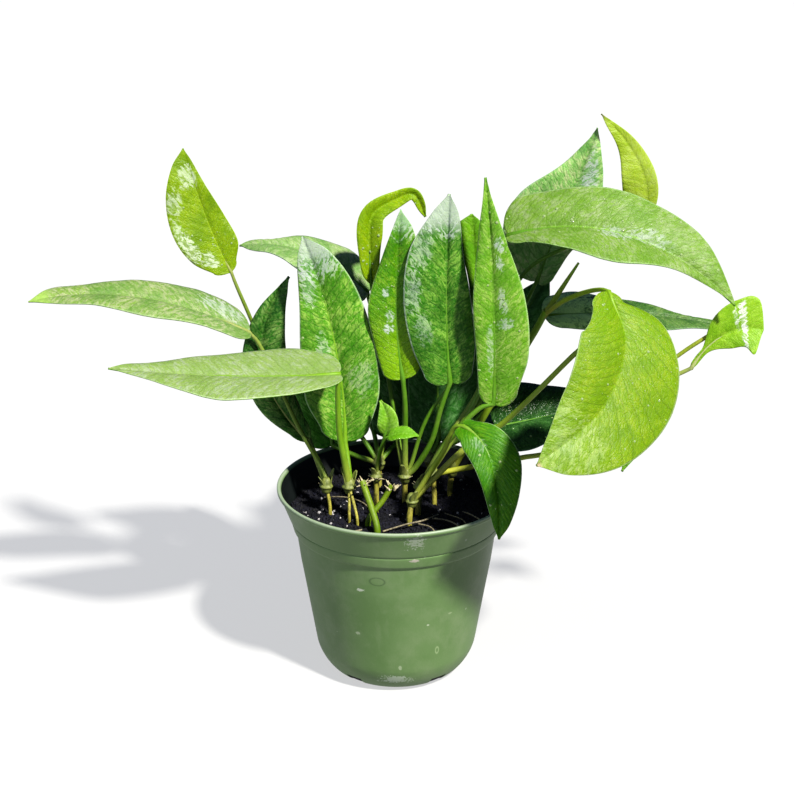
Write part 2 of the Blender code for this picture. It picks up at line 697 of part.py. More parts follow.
                petiole=((18, 28, 95), (16, 27, 90)), girth=(1.2, 1.6),
            ),
            "behind_tall": Leaf(
                rib=((50, 26, 123), (50, 38, 160), (46, 44, 195)),
                right=(4, 7, 10, 9, 6, 2), left=(4, 7, 10, 9, 6, 2),
                petiole=((36, 26, 110), (22, 27, 96), (16, 27, 90)), girth=(1.1, 1.5),
            ),
            "over_back_right_rim": Leaf(
                rib=((24, 46, 106), (32, 72, 101), (38, 92, 64)), facing=(0.1, 0.6, 0.8),
                right=(6.5, 11, 14, 13, 8, 2.5), left=(6.5, 11, 14, 13, 8, 2.5), lobes=(2, 2),
                petiole=((20, 37, 104), (17, 30, 96), (16, 27, 90)), girth=(1.1, 1.5),
            ),
            "back_right": Leaf(
                rib=((38, 40, 99), (68, 68, 100), (96, 98, 98)), facing=(0, 0, 1),
                right=(7, 11.5, 16, 15, 9, 3), left=(7, 11.5, 16, 15, 9, 3), lobes=(2, 2),
                petiole=((28, 34, 97), (19, 29, 92), (16, 27, 90)), girth=(1.1, 1.5),
            ),
            "low_shaded": Leaf(
                rib=((46, 25, 108), (66, 26, 112), (97, 30, 118)), facing=(0, -0.62, 0.78),
                right=(8.5, 14, 17, 15, 9, 4), left=(9.5, 16, 19, 18, 12, 5), lobes=(2, 2),
                petiole=((36, 25, 104), (23, 26, 97), (16, 27, 90)), girth=(1.1, 1.5),
            ),
            "high_shaded": Leaf(
                rib=((54, 30, 154), (62, 32, 166), (70, 33, 178)),
                right=(4, 7, 9, 8, 5, 1.5), left=(4, 7, 9, 8, 5, 1.5),
                petiole=((50, 30, 145), (40, 29, 120), (22, 28, 98), (16, 27, 90)), girth=(1.0, 1.4),
            ),
        },
    ),
}

CUTTINGS = {
    "cutting_front": (
        ((-15, -16, 98), (-11, -24, 89), (-8.5, -29.5, 82), (-8.5, -30, 75), (-8.5, -30, 64)), 1.5,
    ),
    "cutting_crossing": (
        ((-2, -16, 96), (-6, -17, 89), (-12, -20.5, 82), (-12.5, -21, 75), (-12.5, -21, 64)), 1.3,
    ),
}


def make_cutting(name, route, radius):
    """Bare piece of stem that stands in the soil."""
    mesh = tube_mesh(route, (radius, radius))
    return add_object(name, mesh, material(f"{name}_green", STEM_GREEN, LEAF_ROUGHNESS))


def clear_scene():
    """Remove every object that is in the scene at the start."""
    for item in list(bpy.data.objects):
        bpy.data.objects.remove(item)


def main():
    """Build the pot, the soil with its holes, the shoots and the cuttings."""
    clear_scene()
    make_pot()
    holes = [spot for shoot in SHOOTS.values() for spot in shoot.roots]
    holes += [(*route[-1][:2], radius) for route, radius in CUTTINGS.values()]
    make_soil(holes)
    for name, shoot in SHOOTS.items():
        make_shoot(name, shoot)
    for name, (route, radius) in CUTTINGS.items():
        make_cutting(name, route, radius)


main()
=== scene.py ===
"""Looks of a potted cebu blue pothos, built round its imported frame.

The frame gives the plain solids. This file replaces them with finer blades, stems,
roots, soil and pot in the same places. Sizes in the tables are millimetres.
"""
import logging
import math
import random
from dataclasses import dataclass, field
from enum import Enum
from typing import Any, Callable, Optional, Union

import bmesh
import bpy
from mathutils import Matrix, Vector, noise


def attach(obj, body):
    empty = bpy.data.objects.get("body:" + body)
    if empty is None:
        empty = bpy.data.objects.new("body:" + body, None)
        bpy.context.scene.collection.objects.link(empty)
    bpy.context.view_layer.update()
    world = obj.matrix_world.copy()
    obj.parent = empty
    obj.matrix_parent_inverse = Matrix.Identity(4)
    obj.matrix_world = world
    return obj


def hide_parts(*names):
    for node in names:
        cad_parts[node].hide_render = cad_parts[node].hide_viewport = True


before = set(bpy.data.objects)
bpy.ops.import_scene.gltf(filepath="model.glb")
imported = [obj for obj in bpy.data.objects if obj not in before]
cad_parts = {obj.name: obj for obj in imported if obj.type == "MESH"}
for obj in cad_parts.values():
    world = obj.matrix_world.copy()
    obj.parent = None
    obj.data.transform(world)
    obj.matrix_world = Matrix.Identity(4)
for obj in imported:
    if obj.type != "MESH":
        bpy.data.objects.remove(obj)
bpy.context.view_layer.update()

LOG = logging.getLogger("pothos")
MM = 0.001
FACING_FRONT = (0.0, -0.93, 0.3)
FACING_UP = (0.0, -0.25, 1.0)
SKIN_SHARE = 0.4
WHITE = (1.0, 1.0, 1.0, 1.0)
Colour = tuple[float, float, float]
Point = tuple[float, float, float]
Item = bpy.types.Object
Material = bpy.types.Material
EditMesh = bmesh.types.BMesh
Socket = bpy.types.NodeSocket
Value = Union[float, Socket]
Paint = Union[Colour, Socket]


class Scatter(Enum):
    """What is strewn over the top of the soil."""

    CRUMB = "soil_crumbs"
    PERLITE = "perlite"


def tone(code: str, share: float = SKIN_SHARE) -> Colour:
    """Linear colour of a skin from the sRGB code that it shows in strong light.

    Args:
        code: Six hexadecimal digits, such as "7CC52E".
        share: Share of that colour that the skin has in itself.

    Returns:
        Red, green and blue from 0 to 1, linear.
    """
    parts = [int(code[place:place + 2], 16) / 255 for place in (0, 2, 4)]
    linear = [part / 12.92 if part <= 0.04045 else ((part + 0.055) / 1.055) ** 2.4 for part in parts]
    return tuple(share * part for part in linear)


def darker(colour: Colour, share: float) -> Colour:
    """The given share of a colour."""
    return tuple(part * share for part in colour)


def metres(point: Point) -> Vector:
    """Turn a point in millimetres into a vector in metres."""
    return Vector(point) * MM


def round_axis(radius: float, turn: float, height: float) -> Vector:
    """Point at a distance from the upright axis, at a turn in radians and a height."""
    return Vector((radius * math.cos(turn), radius * math.sin(turn), height))


def catmull_rom(four: list, share: float) -> Vector:
    """Blend four neighbouring points with the Catmull-Rom weights.

    Args:
        four: The point before the span, its start, its end and the point after it.
        share: How far along the span, from 0 to 1.

    Returns:
        The blended point.
    """
    before, start, end, after = four
    return 0.5 * (
        start * 2
        + (end - before) * share
        + (before * 2 - start * 5 + end * 4 - after) * share**2
        + (start * 3 - before - end * 3 + after) * share**3
    )


def along(points: list, share: float) -> Vector:
    """Point at a share from 0 to 1 of the smooth curve through the given points.

    Args:
        points: Two or more points.
        share: How far along the curve.

    Returns:
        The point there.
    """
    points = [Vector(point) for point in points]
    spans = len(points) - 1
    if spans == 1:
        return points[0].lerp(points[1], share)
    if spans == 2:
        handle = points[1] * 2 - (points[0] + points[2]) / 2
        start, end = points[0] * (1 - share) ** 2, points[2] * share**2
        return start + handle * 2 * share * (1 - share) + end
    ends = [points[0] * 2 - points[1]] + points + [points[-1] * 2 - points[-2]]
    span = min(int(share * spans), spans - 1)
    return catmull_rom(ends[span:span + 4], share * spans - span)


def tapered(route: list, steps: int, start: float, end: float) -> list:
    """List of (point, girth, rise) along a smooth route, with an even run from start to end girth."""
    shares = [step / steps for step in range(steps + 1)]
    return [(along(route, share), start + (end - start) * share, share) for share in shares]


def smooth_step(low: float, high: float, value: float) -> float:
    """Rise from 0 at low to 1 at high with soft ends."""
    share = min(max((value - low) / (high - low), 0.0), 1.0)
    return share * share * (3 - 2 * share)


class NodeMaker:
    """Adds nodes to one tree and links them as they are made."""

    def __init__(self, tree: bpy.types.NodeTree) -> None:
        """Keep the tree that nodes are added to."""
        self.tree = tree

    def plug(self, entry: Socket, value: Any) -> None:
        """Link an input to a socket, or set it to a plain value.

        Args:
            entry: The input.
            value: The socket to link, or the value to set.
        """
        if isinstance(value, Socket):
            self.tree.links.new(value, entry)
        else:
            entry.default_value = value

    def add(self, kind: str, inputs: Optional[dict] = None, **settings: Any) -> bpy.types.Node:
        """Add one node.

        Args:
            kind: The node's type name.
            inputs: Values or sockets by input name or number.
            settings: The node's own properties.

        Returns:
            The node.
        """
        node = self.tree.nodes.new(kind)
        for name, value in settings.items():
            setattr(node, name, value)
        for key, value in (inputs or {}).items():
            self.plug(node.inputs[key], value)
        return node

    def first(self, kind: str, inputs: Optional[dict] = None, **settings: Any) -> Socket:
        """First output of a new node."""
        return self.add(kind, inputs, **settings).outputs[0]

    def math(self, operation: str, first: Value, second: Value = 0.0) -> Socket:
        """Result of a Math node."""
        return self.first("ShaderNodeMath", {0: first, 1: second}, operation=operation)

    def times(self, first: Value, second: Value) -> Socket:
        """Product of two values."""
        return self.math("MULTIPLY", first, second)

    def plus(self, first: Value, second: Value) -> Socket:
        """Sum of two values."""
        return self.math("ADD", first, second)

    def minus(self, first: Value, second: Value) -> Socket:
        """First value less the second."""
        return self.math("SUBTRACT", first, second)

    def from_middle(self, share: Socket) -> Socket:
        """Distance of a share from its middle, from 0 at the middle to 1 at either end."""
        return self.math("ABSOLUTE", self.minus(self.times(share, 2.0), 1.0))

    def ramp(
        self, value: Value, low: float, high: float, start: float = 0.0, end: float = 1.0,
    ) -> Socket:
        """Map a value from low..high to start..end with soft ends."""
        inputs = {0: value, 1: low, 2: high, 3: start, 4: end}
        return self.first("ShaderNodeMapRange", inputs, interpolation_type="SMOOTHSTEP")

    def mix(self, share: Value, first: Paint, second: Paint) -> Socket:
        """Blend two colours by the share of the second."""
        whole = [(*paint, 1.0) if isinstance(paint, tuple) else paint for paint in (first, second)]
        return self.add("ShaderNodeMix", {0: share, 6: whole[0], 7: whole[1]}, data_type="RGBA").outputs[2]

    def noise(
        self, place: Socket, scale: float, detail: float = 2.0, rough: float = 0.5, warp: float = 0.0,
    ) -> Socket:
        """Noise at a place, with so many finer layers of a strength, twisted by its warp."""
        inputs = {"Vector": place, "Scale": scale, "Detail": detail, "Roughness": rough, "Distortion": warp}
        return self.first("ShaderNodeTexNoise", inputs)

    def vector(self, x: Value, y: Value, z: Value = 0.0) -> Socket:
        """Join three values to a vector."""
        return self.first("ShaderNodeCombineXYZ", {0: x, 1: y, 2: z})

    def split(self, vector: Socket) -> list[Socket]:
        """The three values of a vector."""
        return list(self.add("ShaderNodeSeparateXYZ", {0: vector}).outputs)

    def on_vectors(self, operation: str, first: Socket, second: Union[Point, Socket]) -> Socket:
        """Vector that a Vector Math node makes of two."""
        return self.first("ShaderNodeVectorMath", {0: first, 1: second}, operation=operation)

    def stretched(self, place: Socket, share: float) -> Socket:
        """Place with its height squeezed to a share, so that patterns run in upright streaks."""
        return self.first("ShaderNodeMapping", {0: place, 3: (1.0, 1.0, share)})


@dataclass(frozen=True)
class Surface:
    """A material under construction: its nodes, its shader and where it is read."""

    made: Material
    nodes: NodeMaker
    shader: bpy.types.Node
    place: Socket

    @classmethod
    def start(cls, name: str) -> "Surface":
        """Start a Principled material that reads Object coordinates.

        Args:
            name: The material's name.

        Returns:
            The surface.
        """
        made = bpy.data.materials.new(name)
        made.use_nodes = True
        nodes = NodeMaker(made.node_tree)
        place = nodes.add("ShaderNodeTexCoord").outputs["Object"]
        return cls(made, nodes, made.node_tree.nodes["Principled BSDF"], place)

    def set(self, **inputs: Any) -> None:
        """Set the shader's inputs, written with underscores for spaces."""
        for name, value in inputs.items():
            self.nodes.plug(self.shader.inputs[name.replace("_", " ")], value)

    def bump(self, height: Socket, strength: float, distance: float) -> None:
        """Give the surface fine relief from a height value."""
        inputs = {"Strength": strength, "Distance": distance, "Height": height}
        self.set(Normal=self.nodes.first("ShaderNodeBump", inputs))

    def glow(self, weight: float, radius: Point, scale: float) -> None:
        """Let some light into the skin, as a leaf or a stem does."""
        self.set(Subsurface_Weight=weight, Subsurface_Radius=radius, Subsurface_Scale=scale)


@dataclass(frozen=True)
class SheenPatch:
    """A patch of painted sheen on a blade, pale where the waxy skin reflects the sky: its middle, its reach
    and how strong it is.

    up and out are shares: up along the rib, out from -1 (left edge) to 1 (right edge).
    """

    up: float
    out: float
    tall: float
    wide: float
    strength: float = 1.0

    def share(self, nodes: NodeMaker, up: Socket, out: Socket, grain: Socket) -> Socket:
        """How much painted sheen the patch lays on a place.

        Args:
            nodes: Maker of the material's nodes.
            up: Share along the blade.
            out: Share across the blade, from 0 to 1.
            grain: Grain that breaks the patch up.

        Returns:
            The share, from 0 to 1.
        """
        tall = nodes.times(nodes.minus(up, self.up), 1 / self.tall)
        wide = nodes.times(nodes.minus(out, self.out / 2 + 0.5), 2 / self.wide)
        reach = nodes.plus(nodes.times(tall, tall), nodes.times(wide, wide))
        inner = nodes.ramp(nodes.minus(reach, nodes.times(grain, 0.9)), -0.3, 0.55, 1.0, 0.0)
        return nodes.times(inner, nodes.ramp(grain, 0.1, 0.6, 0.35 * self.strength, self.strength))


@dataclass(frozen=True)
class LeafFinish:
    """Waxy leaf skin: ground colour, mottling, veins, rim, midrib and tip.

    Colours are sRGB hex. base and deep make the ground and pale its mottling, low tints the
    foot and the sheen colour fills the patches of painted sheen. tip is a real brown or pink tip on
    some leaves and painted sheen on others. Strengths run from 0 to 1.
    """

    base: str
    pale: str
    deep: str
    under: str
    rim: str
    rib: str
    veins: float = 0.3
    mottle: float = 0.5
    speckle: float = 0.2
    low: str = ""
    tip: str = ""
    tip_from: float = 0.94
    sheen_colour: str = "CDD8D2"
    gloss: float = 0.46
    rim_share: float = 0.968
    rib_show: float = 0.3
    sheen_patches: tuple = ()

    GLOW_RADIUS = (0.5, 1.0, 0.2)
    GLOW_SCALE = 0.0009
    SHINE = 0.14
    UNDER_SHINE = 0.12
    UNDER_DARKNESS = 0.72
    SHIFT = (1.0, 0.37)
    WOBBLE = 0.7
    WOBBLE_SCALE = 180.0
    CELLS = (2.3, 4.2)
    BLOTCH_SCALE = 95.0
    FINE_SCALE = 900.0
    WAX_SCALE = 300.0
    PORE_SCALE = 1300.0
    SPOT_SCALE = 1500.0
    SPOT_COLOUR = "E4ECB4"
    GRAIN_SHARE = 0.35
    VEIN_DARKNESS = 0.42
    VEIN_HALF = 0.12
    NET_SHARE = 0.45
    RIM_STRENGTH = 0.6

    def upper(self, name: str, seed: float) -> Material:
        """Make the material of the upper face.

        Args:
            name: The leaf's name.
            seed: Moves the pattern.

        Returns:
            The material.
        """
        surface = Surface.start(f"{name}_upper")
        nodes = surface.nodes
        out, up, _ = nodes.split(nodes.first("ShaderNodeUVMap", uv_map="blade"))
        count, apart, _ = nodes.split(nodes.first("ShaderNodeUVMap", uv_map="vein"))
        side = nodes.from_middle(out)
        place = nodes.on_vectors("ADD", surface.place, (*(share * seed for share in self.SHIFT), 0.11))
        phase = nodes.plus(count, nodes.times(nodes.noise(place, self.WOBBLE_SCALE), self.WOBBLE))
        wide, tall = self.CELLS
        woven = nodes.vector(nodes.times(phase, wide), nodes.times(apart, tall), seed * 10)
        inputs = {"Vector": woven, "Scale": 1.0}
        cells = nodes.add("ShaderNodeTexVoronoi", inputs, feature="DISTANCE_TO_EDGE")
        net = nodes.ramp(cells.outputs[0], 0.0, 0.16, 1.0, 0.0)
        island = nodes.ramp(nodes.noise(woven, 1.0, 4.0, 0.62, 0.6), 0.46, 0.56)
        blotch = nodes.noise(place, self.BLOTCH_SCALE, 4.0, 0.6, 0.4)
        clear = nodes.ramp(blotch, 0.36, 0.6)
        fine = nodes.ramp(nodes.noise(place, self.FINE_SCALE, 2.0, 0.6), 0.35, 0.68)
        colour = nodes.mix(nodes.ramp(blotch, 0.3, 0.7), tone(self.deep), tone(self.base))
        if self.low:
            colour = nodes.mix(nodes.ramp(up, 0.1, 0.6), tone(self.low), colour)
        colour = nodes.mix(nodes.times(nodes.times(island, clear), self.mottle), colour, tone(self.pale))
        colour = nodes.mix(nodes.times(fine, self.GRAIN_SHARE * self.mottle), colour, tone(self.pale))
        near_vein = nodes.math("PINGPONG", phase, 0.5)
        line = nodes.ramp(near_vein, 0.0, self.VEIN_HALF, 1.0, 0.0)
        line = nodes.math("MAXIMUM", line, nodes.times(net, self.NET_SHARE))
        dark = darker(tone(self.deep), self.VEIN_DARKNESS)
        colour = nodes.mix(nodes.times(line, self.veins), colour, dark)
        grain = nodes.plus(nodes.times(island, 0.7), nodes.times(fine, 0.3))
        # painted sheen: pale patches where the waxy skin reflects the sky
        for patch in self.sheen_patches:
            colour = nodes.mix(patch.share(nodes, up, out, grain), colour, tone(self.sheen_colour))
        spots = nodes.add("ShaderNodeTexVoronoi", {"Vector": place, "Scale": self.SPOT_SCALE})
        spot = nodes.times(nodes.ramp(spots.outputs[0], 0.1, 0.24, 1.0, 0.0), clear)
        colour = nodes.mix(nodes.times(spot, self.speckle), colour, tone(self.SPOT_COLOUR))
        width = nodes.ramp(up, 0.0, 0.9, 0.04, 0.01)
        rib = nodes.ramp(nodes.math("DIVIDE", side, width), 0.3, 1.0, self.rib_show, 0.0)
        colour = nodes.mix(rib, colour, tone(self.rib))
        rim = nodes.ramp(side, self.rim_share - 0.02, self.rim_share + 0.015)
        colour = nodes.mix(nodes.times(rim, self.RIM_STRENGTH), colour, tone(self.rim))
        # tip colour: a real brown or pink tip on some leaves, painted sheen on the whitish tips of
        # large_upright, spotted_upright and broad_upright
        if self.tip:
            start = self.tip_from - 0.05
            tip = nodes.ramp(nodes.minus(up, nodes.times(blotch, 0.1)), start, (start + 1) / 2)
            colour = nodes.mix(tip, colour, tone(self.tip))
        wax = nodes.noise(place, self.WAX_SCALE, 3.0)
        rough = nodes.ramp(wax, 0.3, 0.7, self.gloss - 0.06, self.gloss + 0.1)
        surface.set(Base_Color=colour, Roughness=rough, Specular_IOR_Level=self.SHINE)
        surface.glow(0.1, self.GLOW_RADIUS, self.GLOW_SCALE)
        height = nodes.plus(nodes.times(near_vein, 1.2), nodes.times(net, -0.35))
        pores = nodes.noise(place, self.PORE_SCALE, 3.0, 0.65)
        surface.bump(nodes.plus(height, nodes.times(pores, 0.8)), 0.45, 0.0005)
        return surface.made

    def beneath(self, name: str, seed: float) -> Material:
        """Make the material of the under face and the edge.

        Args:
            name: The leaf's name.
            seed: Moves the pattern.

        Returns:
            The material.
        """
        surface = Surface.start(f"{name}_under")
        nodes = surface.nodes
        count = nodes.split(nodes.first("ShaderNodeUVMap", uv_map="vein"))[0]
        place = nodes.on_vectors("ADD", surface.place, (seed, seed, 0.2))
        blotch = nodes.noise(place, 120.0, 4.0, 0.6)
        ground = darker(tone(self.under), self.UNDER_DARKNESS)
        colour = nodes.mix(nodes.ramp(blotch, 0.3, 0.7), ground, tone(self.under))
        line = nodes.ramp(nodes.math("PINGPONG", count, 0.5), 0.0, self.VEIN_HALF, 0.4, 0.0)
        colour = nodes.mix(line, colour, tone(self.rib))
        rough = nodes.ramp(blotch, 0.3, 0.7, 0.5, 0.65)
        surface.set(Base_Color=colour, Roughness=rough, Specular_IOR_Level=self.UNDER_SHINE)
        surface.glow(0.12, self.GLOW_RADIUS, self.GLOW_SCALE)
        surface.bump(nodes.noise(place, 900.0, 3.0), 0.3, 0.0003)
        return surface.made


@dataclass(frozen=True)
class StemFinish:
    """Smooth stem skin that runs from a pale foot to a green top."""

    foot: str = "A2AE50"
    middle: str = "66981C"
    top: str = "66A01E"
    gloss: float = 0.46

    STREAK = 0.12
    STREAK_SCALE = 1600.0
    STREAK_DARKNESS = 0.55
    BLOTCH_SCALE = 160.0

    def material(self, name: str) -> Material:
        """Make the stem's material, which reads its rise attribute.

        Args:
            name: The material's name.

        Returns:
            The material.
        """
        surface = Surface.start(name)
        nodes = surface.nodes
        rise = nodes.add("ShaderNodeAttribute", attribute_name="rise").outputs["Fac"]
        lines = nodes.noise(nodes.stretched(surface.place, self.STREAK), self.STREAK_SCALE, 3.0, 0.6)
        blotch = nodes.noise(surface.place, self.BLOTCH_SCALE, 4.0, 0.6)
        colour = nodes.mix(nodes.ramp(rise, 0.02, 0.3), tone(self.foot), tone(self.middle))
        colour = nodes.mix(nodes.ramp(rise, 0.4, 1.0), colour, tone(self.top))
        dark = darker(tone(self.middle), self.STREAK_DARKNESS)
        colour = nodes.mix(nodes.ramp(lines, 0.4, 0.75, 0.0, 0.4), colour, dark)
        colour = nodes.mix(nodes.ramp(blotch, 0.5, 0.75, 0.0, 0.25), colour, tone(self.foot))
        rough = nodes.ramp(blotch, 0.3, 0.7, self.gloss, self.gloss + 0.15)
        surface.set(Base_Color=colour, Roughness=rough, Specular_IOR_Level=0.25)
        surface.glow(0.1, (0.6, 1.0, 0.3), 0.001)
        surface.bump(lines, 0.35, 0.0003)
        return surface.made


@dataclass(frozen=True)
class BarkFinish:
    """Dry papery or fibrous skin of sheaths, cut ends and roots."""

    light: str = "D9C79A"
    dark: str = "7A5F34"
    rough: float = 0.75

    STREAK = 0.25
    STREAK_SCALE = 1100.0
    BLOTCH_SCALE = 320.0

    def material(self, name: str) -> Material:
        """Make the material, streaked along its height.

        Args:
            name: The material's name.

        Returns:
            The material.
        """
        surface = Surface.start(name)
        nodes = surface.nodes
        lines = nodes.noise(nodes.stretched(surface.place, self.STREAK), self.STREAK_SCALE, 4.0, 0.7)
        blotch = nodes.noise(surface.place, self.BLOTCH_SCALE, 3.0, 0.6)
        colour = nodes.mix(nodes.ramp(lines, 0.35, 0.7), tone(self.light), tone(self.dark))
        colour = nodes.mix(nodes.ramp(blotch, 0.45, 0.7, 0.0, 0.6), colour, tone(self.light))
        surface.set(Base_Color=colour, Roughness=self.rough)
        surface.bump(lines, 0.6, 0.0004)
        return surface.made


@dataclass(frozen=True)
class Mark:
    """A small mark on the pot, such as a stain or scuff, or a painted highlight spot: its middle, its half
    sizes and its colour, in mm.

    hollow is the share of it that stays bare inside, torn is how far grain breaks its edge.
    """

    place: Point
    reach: Point
    colour: str
    strength: float = 0.7
    hollow: float = 0.0
    torn: float = 0.0

    EDGE = 0.12

    def lay(self, nodes: NodeMaker, colour: Socket, place: Socket, grain: Socket) -> Socket:
        """Lay the mark over a colour.

        Args:
            nodes: Maker of the material's nodes.
            colour: The colour so far.
            place: Object coordinates.
            grain: Fine noise that tears the edge.

        Returns:
            The colour with the mark.
        """
        moved = nodes.on_vectors("SUBTRACT", place, tuple(value * MM for value in self.place))
        sized = nodes.on_vectors("MULTIPLY", moved, tuple(1 / (value * MM) for value in self.reach))
        apart = nodes.add("ShaderNodeVectorMath", {0: sized}, operation="LENGTH").outputs["Value"]
        apart = nodes.plus(apart, nodes.times(nodes.minus(grain, 0.5), 3 * self.torn))
        share = nodes.ramp(apart, 0.7, 1.0, self.strength, 0.0)
        if self.hollow:
            share = nodes.times(share, nodes.ramp(apart, self.hollow - self.EDGE, self.hollow + self.EDGE))
        return nodes.mix(share, colour, tone(self.colour))


POT_MARKS_AND_GLARE = (
    Mark((-8.3, -44.0, 62.3), (4.2, 6.0, 2.5), "35502E", 0.75, hollow=0.72),
    Mark((-15.9, -41.0, 56.9), (1.9, 3.0, 0.8), "D6DCCB", 0.75, torn=1.0),
    Mark((-17.0, -36.4, 33.0), (1.2, 3.0, 0.9), "B9C7A6", 0.7, torn=0.4),
    Mark((14.2, -38.4, 38.1), (0.7, 2.0, 0.6), "C9D4BA", 0.7),
    Mark((24.1, -33.9, 41.7), (1.0, 2.0, 0.6), "A9BC92", 0.6, torn=0.3),
    Mark((1.8, -37.3, 15.7), (0.9, 2.0, 1.5), "B9C7A6", 0.6, torn=0.3),
    Mark((18.4, -33.8, 23.0), (1.1, 3.0, 2.6), "A9C08F", 0.65, hollow=0.45),
    Mark((-26.5, -28.0, 30.0), (0.6, 2.0, 0.6), "B9C7A6", 0.5),
    # painted highlight: pale glare spot at the foot, not a mark on the plastic
    Mark((0.4, -35.4, 8.6), (7.0, 6.0, 2.4), "DCE4D6", 0.5, torn=1.2),
    Mark((8.6, -51.5, 85.2), (3.6, 4.0, 4.0), "C8CEC0", 0.55, torn=1.8),
    Mark((8.2, -47.3, 74.1), (2.6, 3.0, 0.7), "E0CFCB", 0.6, torn=0.8),
)


@dataclass(frozen=True)
class PotFinish:
    """Satin moulded plastic with a dusty bloom, scuffs, small flecks and a painted highlight along the
    lip's top.
    """

    ground: str = "73925A"
    shade: str = "66884C"
    bloom: str = "859C6E"
    fleck: str = "C8D4BE"
    marks: tuple = ()

    CLOUD_SCALE = 26.0
    WIPE = 0.2
    WIPE_SCALE = 210.0
    DUST_SCALE = 60.0
    GRAIN_SCALE = 900.0
    FLECK_SCALE = 150.0
    FLECK_KEEP = 0.8
    LIP_HIGHLIGHT_EDGE = (0.0886, 0.0899)

    def material(self, name: str) -> Material:
        """Make the pot's material.

        Args:
            name: The material's name.

        Returns:
            The material.
        """
        surface = Surface.start(name)
        nodes, place = surface.nodes, surface.place
        cloud = nodes.noise(place, self.CLOUD_SCALE, 5.0, 0.65, 0.3)
        wipes = nodes.noise(nodes.stretched(place, self.WIPE), self.WIPE_SCALE, 4.0, 0.7)
        colour = nodes.mix(nodes.ramp(cloud, 0.35, 0.65), tone(self.shade), tone(self.ground))
        dust = nodes.ramp(nodes.noise(place, self.DUST_SCALE, 5.0, 0.7), 0.45, 0.72, 0.0, 0.6)
        colour = nodes.mix(dust, colour, tone(self.bloom))
        colour = nodes.mix(nodes.ramp(wipes, 0.55, 0.75, 0.0, 0.3), colour, tone(self.bloom))
        spots = nodes.add("ShaderNodeTexVoronoi", {"Vector": place, "Scale": self.FLECK_SCALE})
        keep = nodes.math("GREATER_THAN", spots.outputs["Color"], self.FLECK_KEEP)
        fleck = nodes.times(nodes.ramp(spots.outputs[0], 0.05, 0.12, 1.0, 0.0), keep)
        colour = nodes.mix(nodes.times(fleck, 0.5), colour, tone(self.fleck))
        # painted highlight: the top of the lip is laid in the pale fleck colour
        lip = nodes.ramp(nodes.split(place)[2], *self.LIP_HIGHLIGHT_EDGE, 0.0, 0.55)
        colour = nodes.mix(lip, colour, tone(self.fleck))
        grain = nodes.noise(place, self.GRAIN_SCALE, 3.0, 0.6)
        for mark in self.marks:
            colour = mark.lay(nodes, colour, place, grain)
        rough = nodes.ramp(cloud, 0.3, 0.7, 0.42, 0.56)
        surface.set(Base_Color=colour, Roughness=rough, Specular_IOR_Level=0.35)
        surface.bump(nodes.plus(grain, nodes.times(wipes, 0.5)), 0.12, 0.0003)
        return surface.made


WEAR_AND_HIGHLIGHT_PLASTIC = PotFinish(marks=POT_MARKS_AND_GLARE)
# painted shade: near-black inside skin, partly soil stains, mostly the shade inside the pot and in the
# drain slots
SOIL_AND_SHADE_PLASTIC = PotFinish("161E1C", "0C1213", "1C2423", "3A4A3A")


@dataclass(frozen=True)
class WaterFinish:
    """Water with a faint ripple on its skin and a pale body colour that paints its glints."""

    glint_tint: str = "D2EEA6"
    name: str = "water_drop"

    def material(self) -> Material:
        """Make the material, or find it if it is there already.

        Returns:
            The material.
        """
        if self.name in bpy.data.materials:
            return bpy.data.materials[self.name]
        surface = Surface.start(self.name)
        ripple = surface.nodes.noise(surface.place, 700.0, 2.0)
        # painted glint: the drop's pale body colour
        surface.set(Base_Color=(*tone(self.glint_tint), 1.0), Transmission_Weight=0.45, IOR=1.33)
        surface.set(Roughness=surface.nodes.ramp(ripple, 0.3, 0.7, 0.02, 0.08))
        surface.bump(ripple, 0.1, 0.0002)
        return surface.made


@dataclass(frozen=True)
class EarthFinish:
    """Moist dark potting mix, or pale expanded perlite."""

    light: str
    dark: str
    rough: float
    grain: float = 700.0

    def material(self, name: str) -> Material:
        """Make the material.

        Args:
            name: The material's name.

        Returns:
            The material.
        """
        surface = Surface.start(name)
        nodes = surface.nodes
        crumb = nodes.noise(surface.place, self.grain, 5.0, 0.7)
        cloud = nodes.noise(surface.place, 90.0, 3.0)
        colour = nodes.mix(nodes.ramp(crumb, 0.35, 0.7), tone(self.dark), tone(self.light))
        colour = nodes.mix(nodes.ramp(cloud, 0.4, 0.7, 0.0, 0.6), colour, tone(self.dark))
        rough = nodes.ramp(crumb, 0.3, 0.7, self.rough - 0.2, self.rough)
        surface.set(Base_Color=colour, Roughness=rough, Specular_IOR_Level=0.25)
        surface.bump(crumb, 0.8, 0.0008)
        return surface.made


def keep_result(item: Item) -> None:
    """Make what an object's modifiers give its plain mesh, and drop the modifiers.

    Args:
        item: The object.
    """
    evaluated = item.evaluated_get(bpy.context.evaluated_depsgraph_get())
    finished = bpy.data.meshes.new_from_object(evaluated)
    item.modifiers.clear()
    old = item.data
    item.data = finished
    bpy.data.meshes.remove(old)
    finished.name = item.name


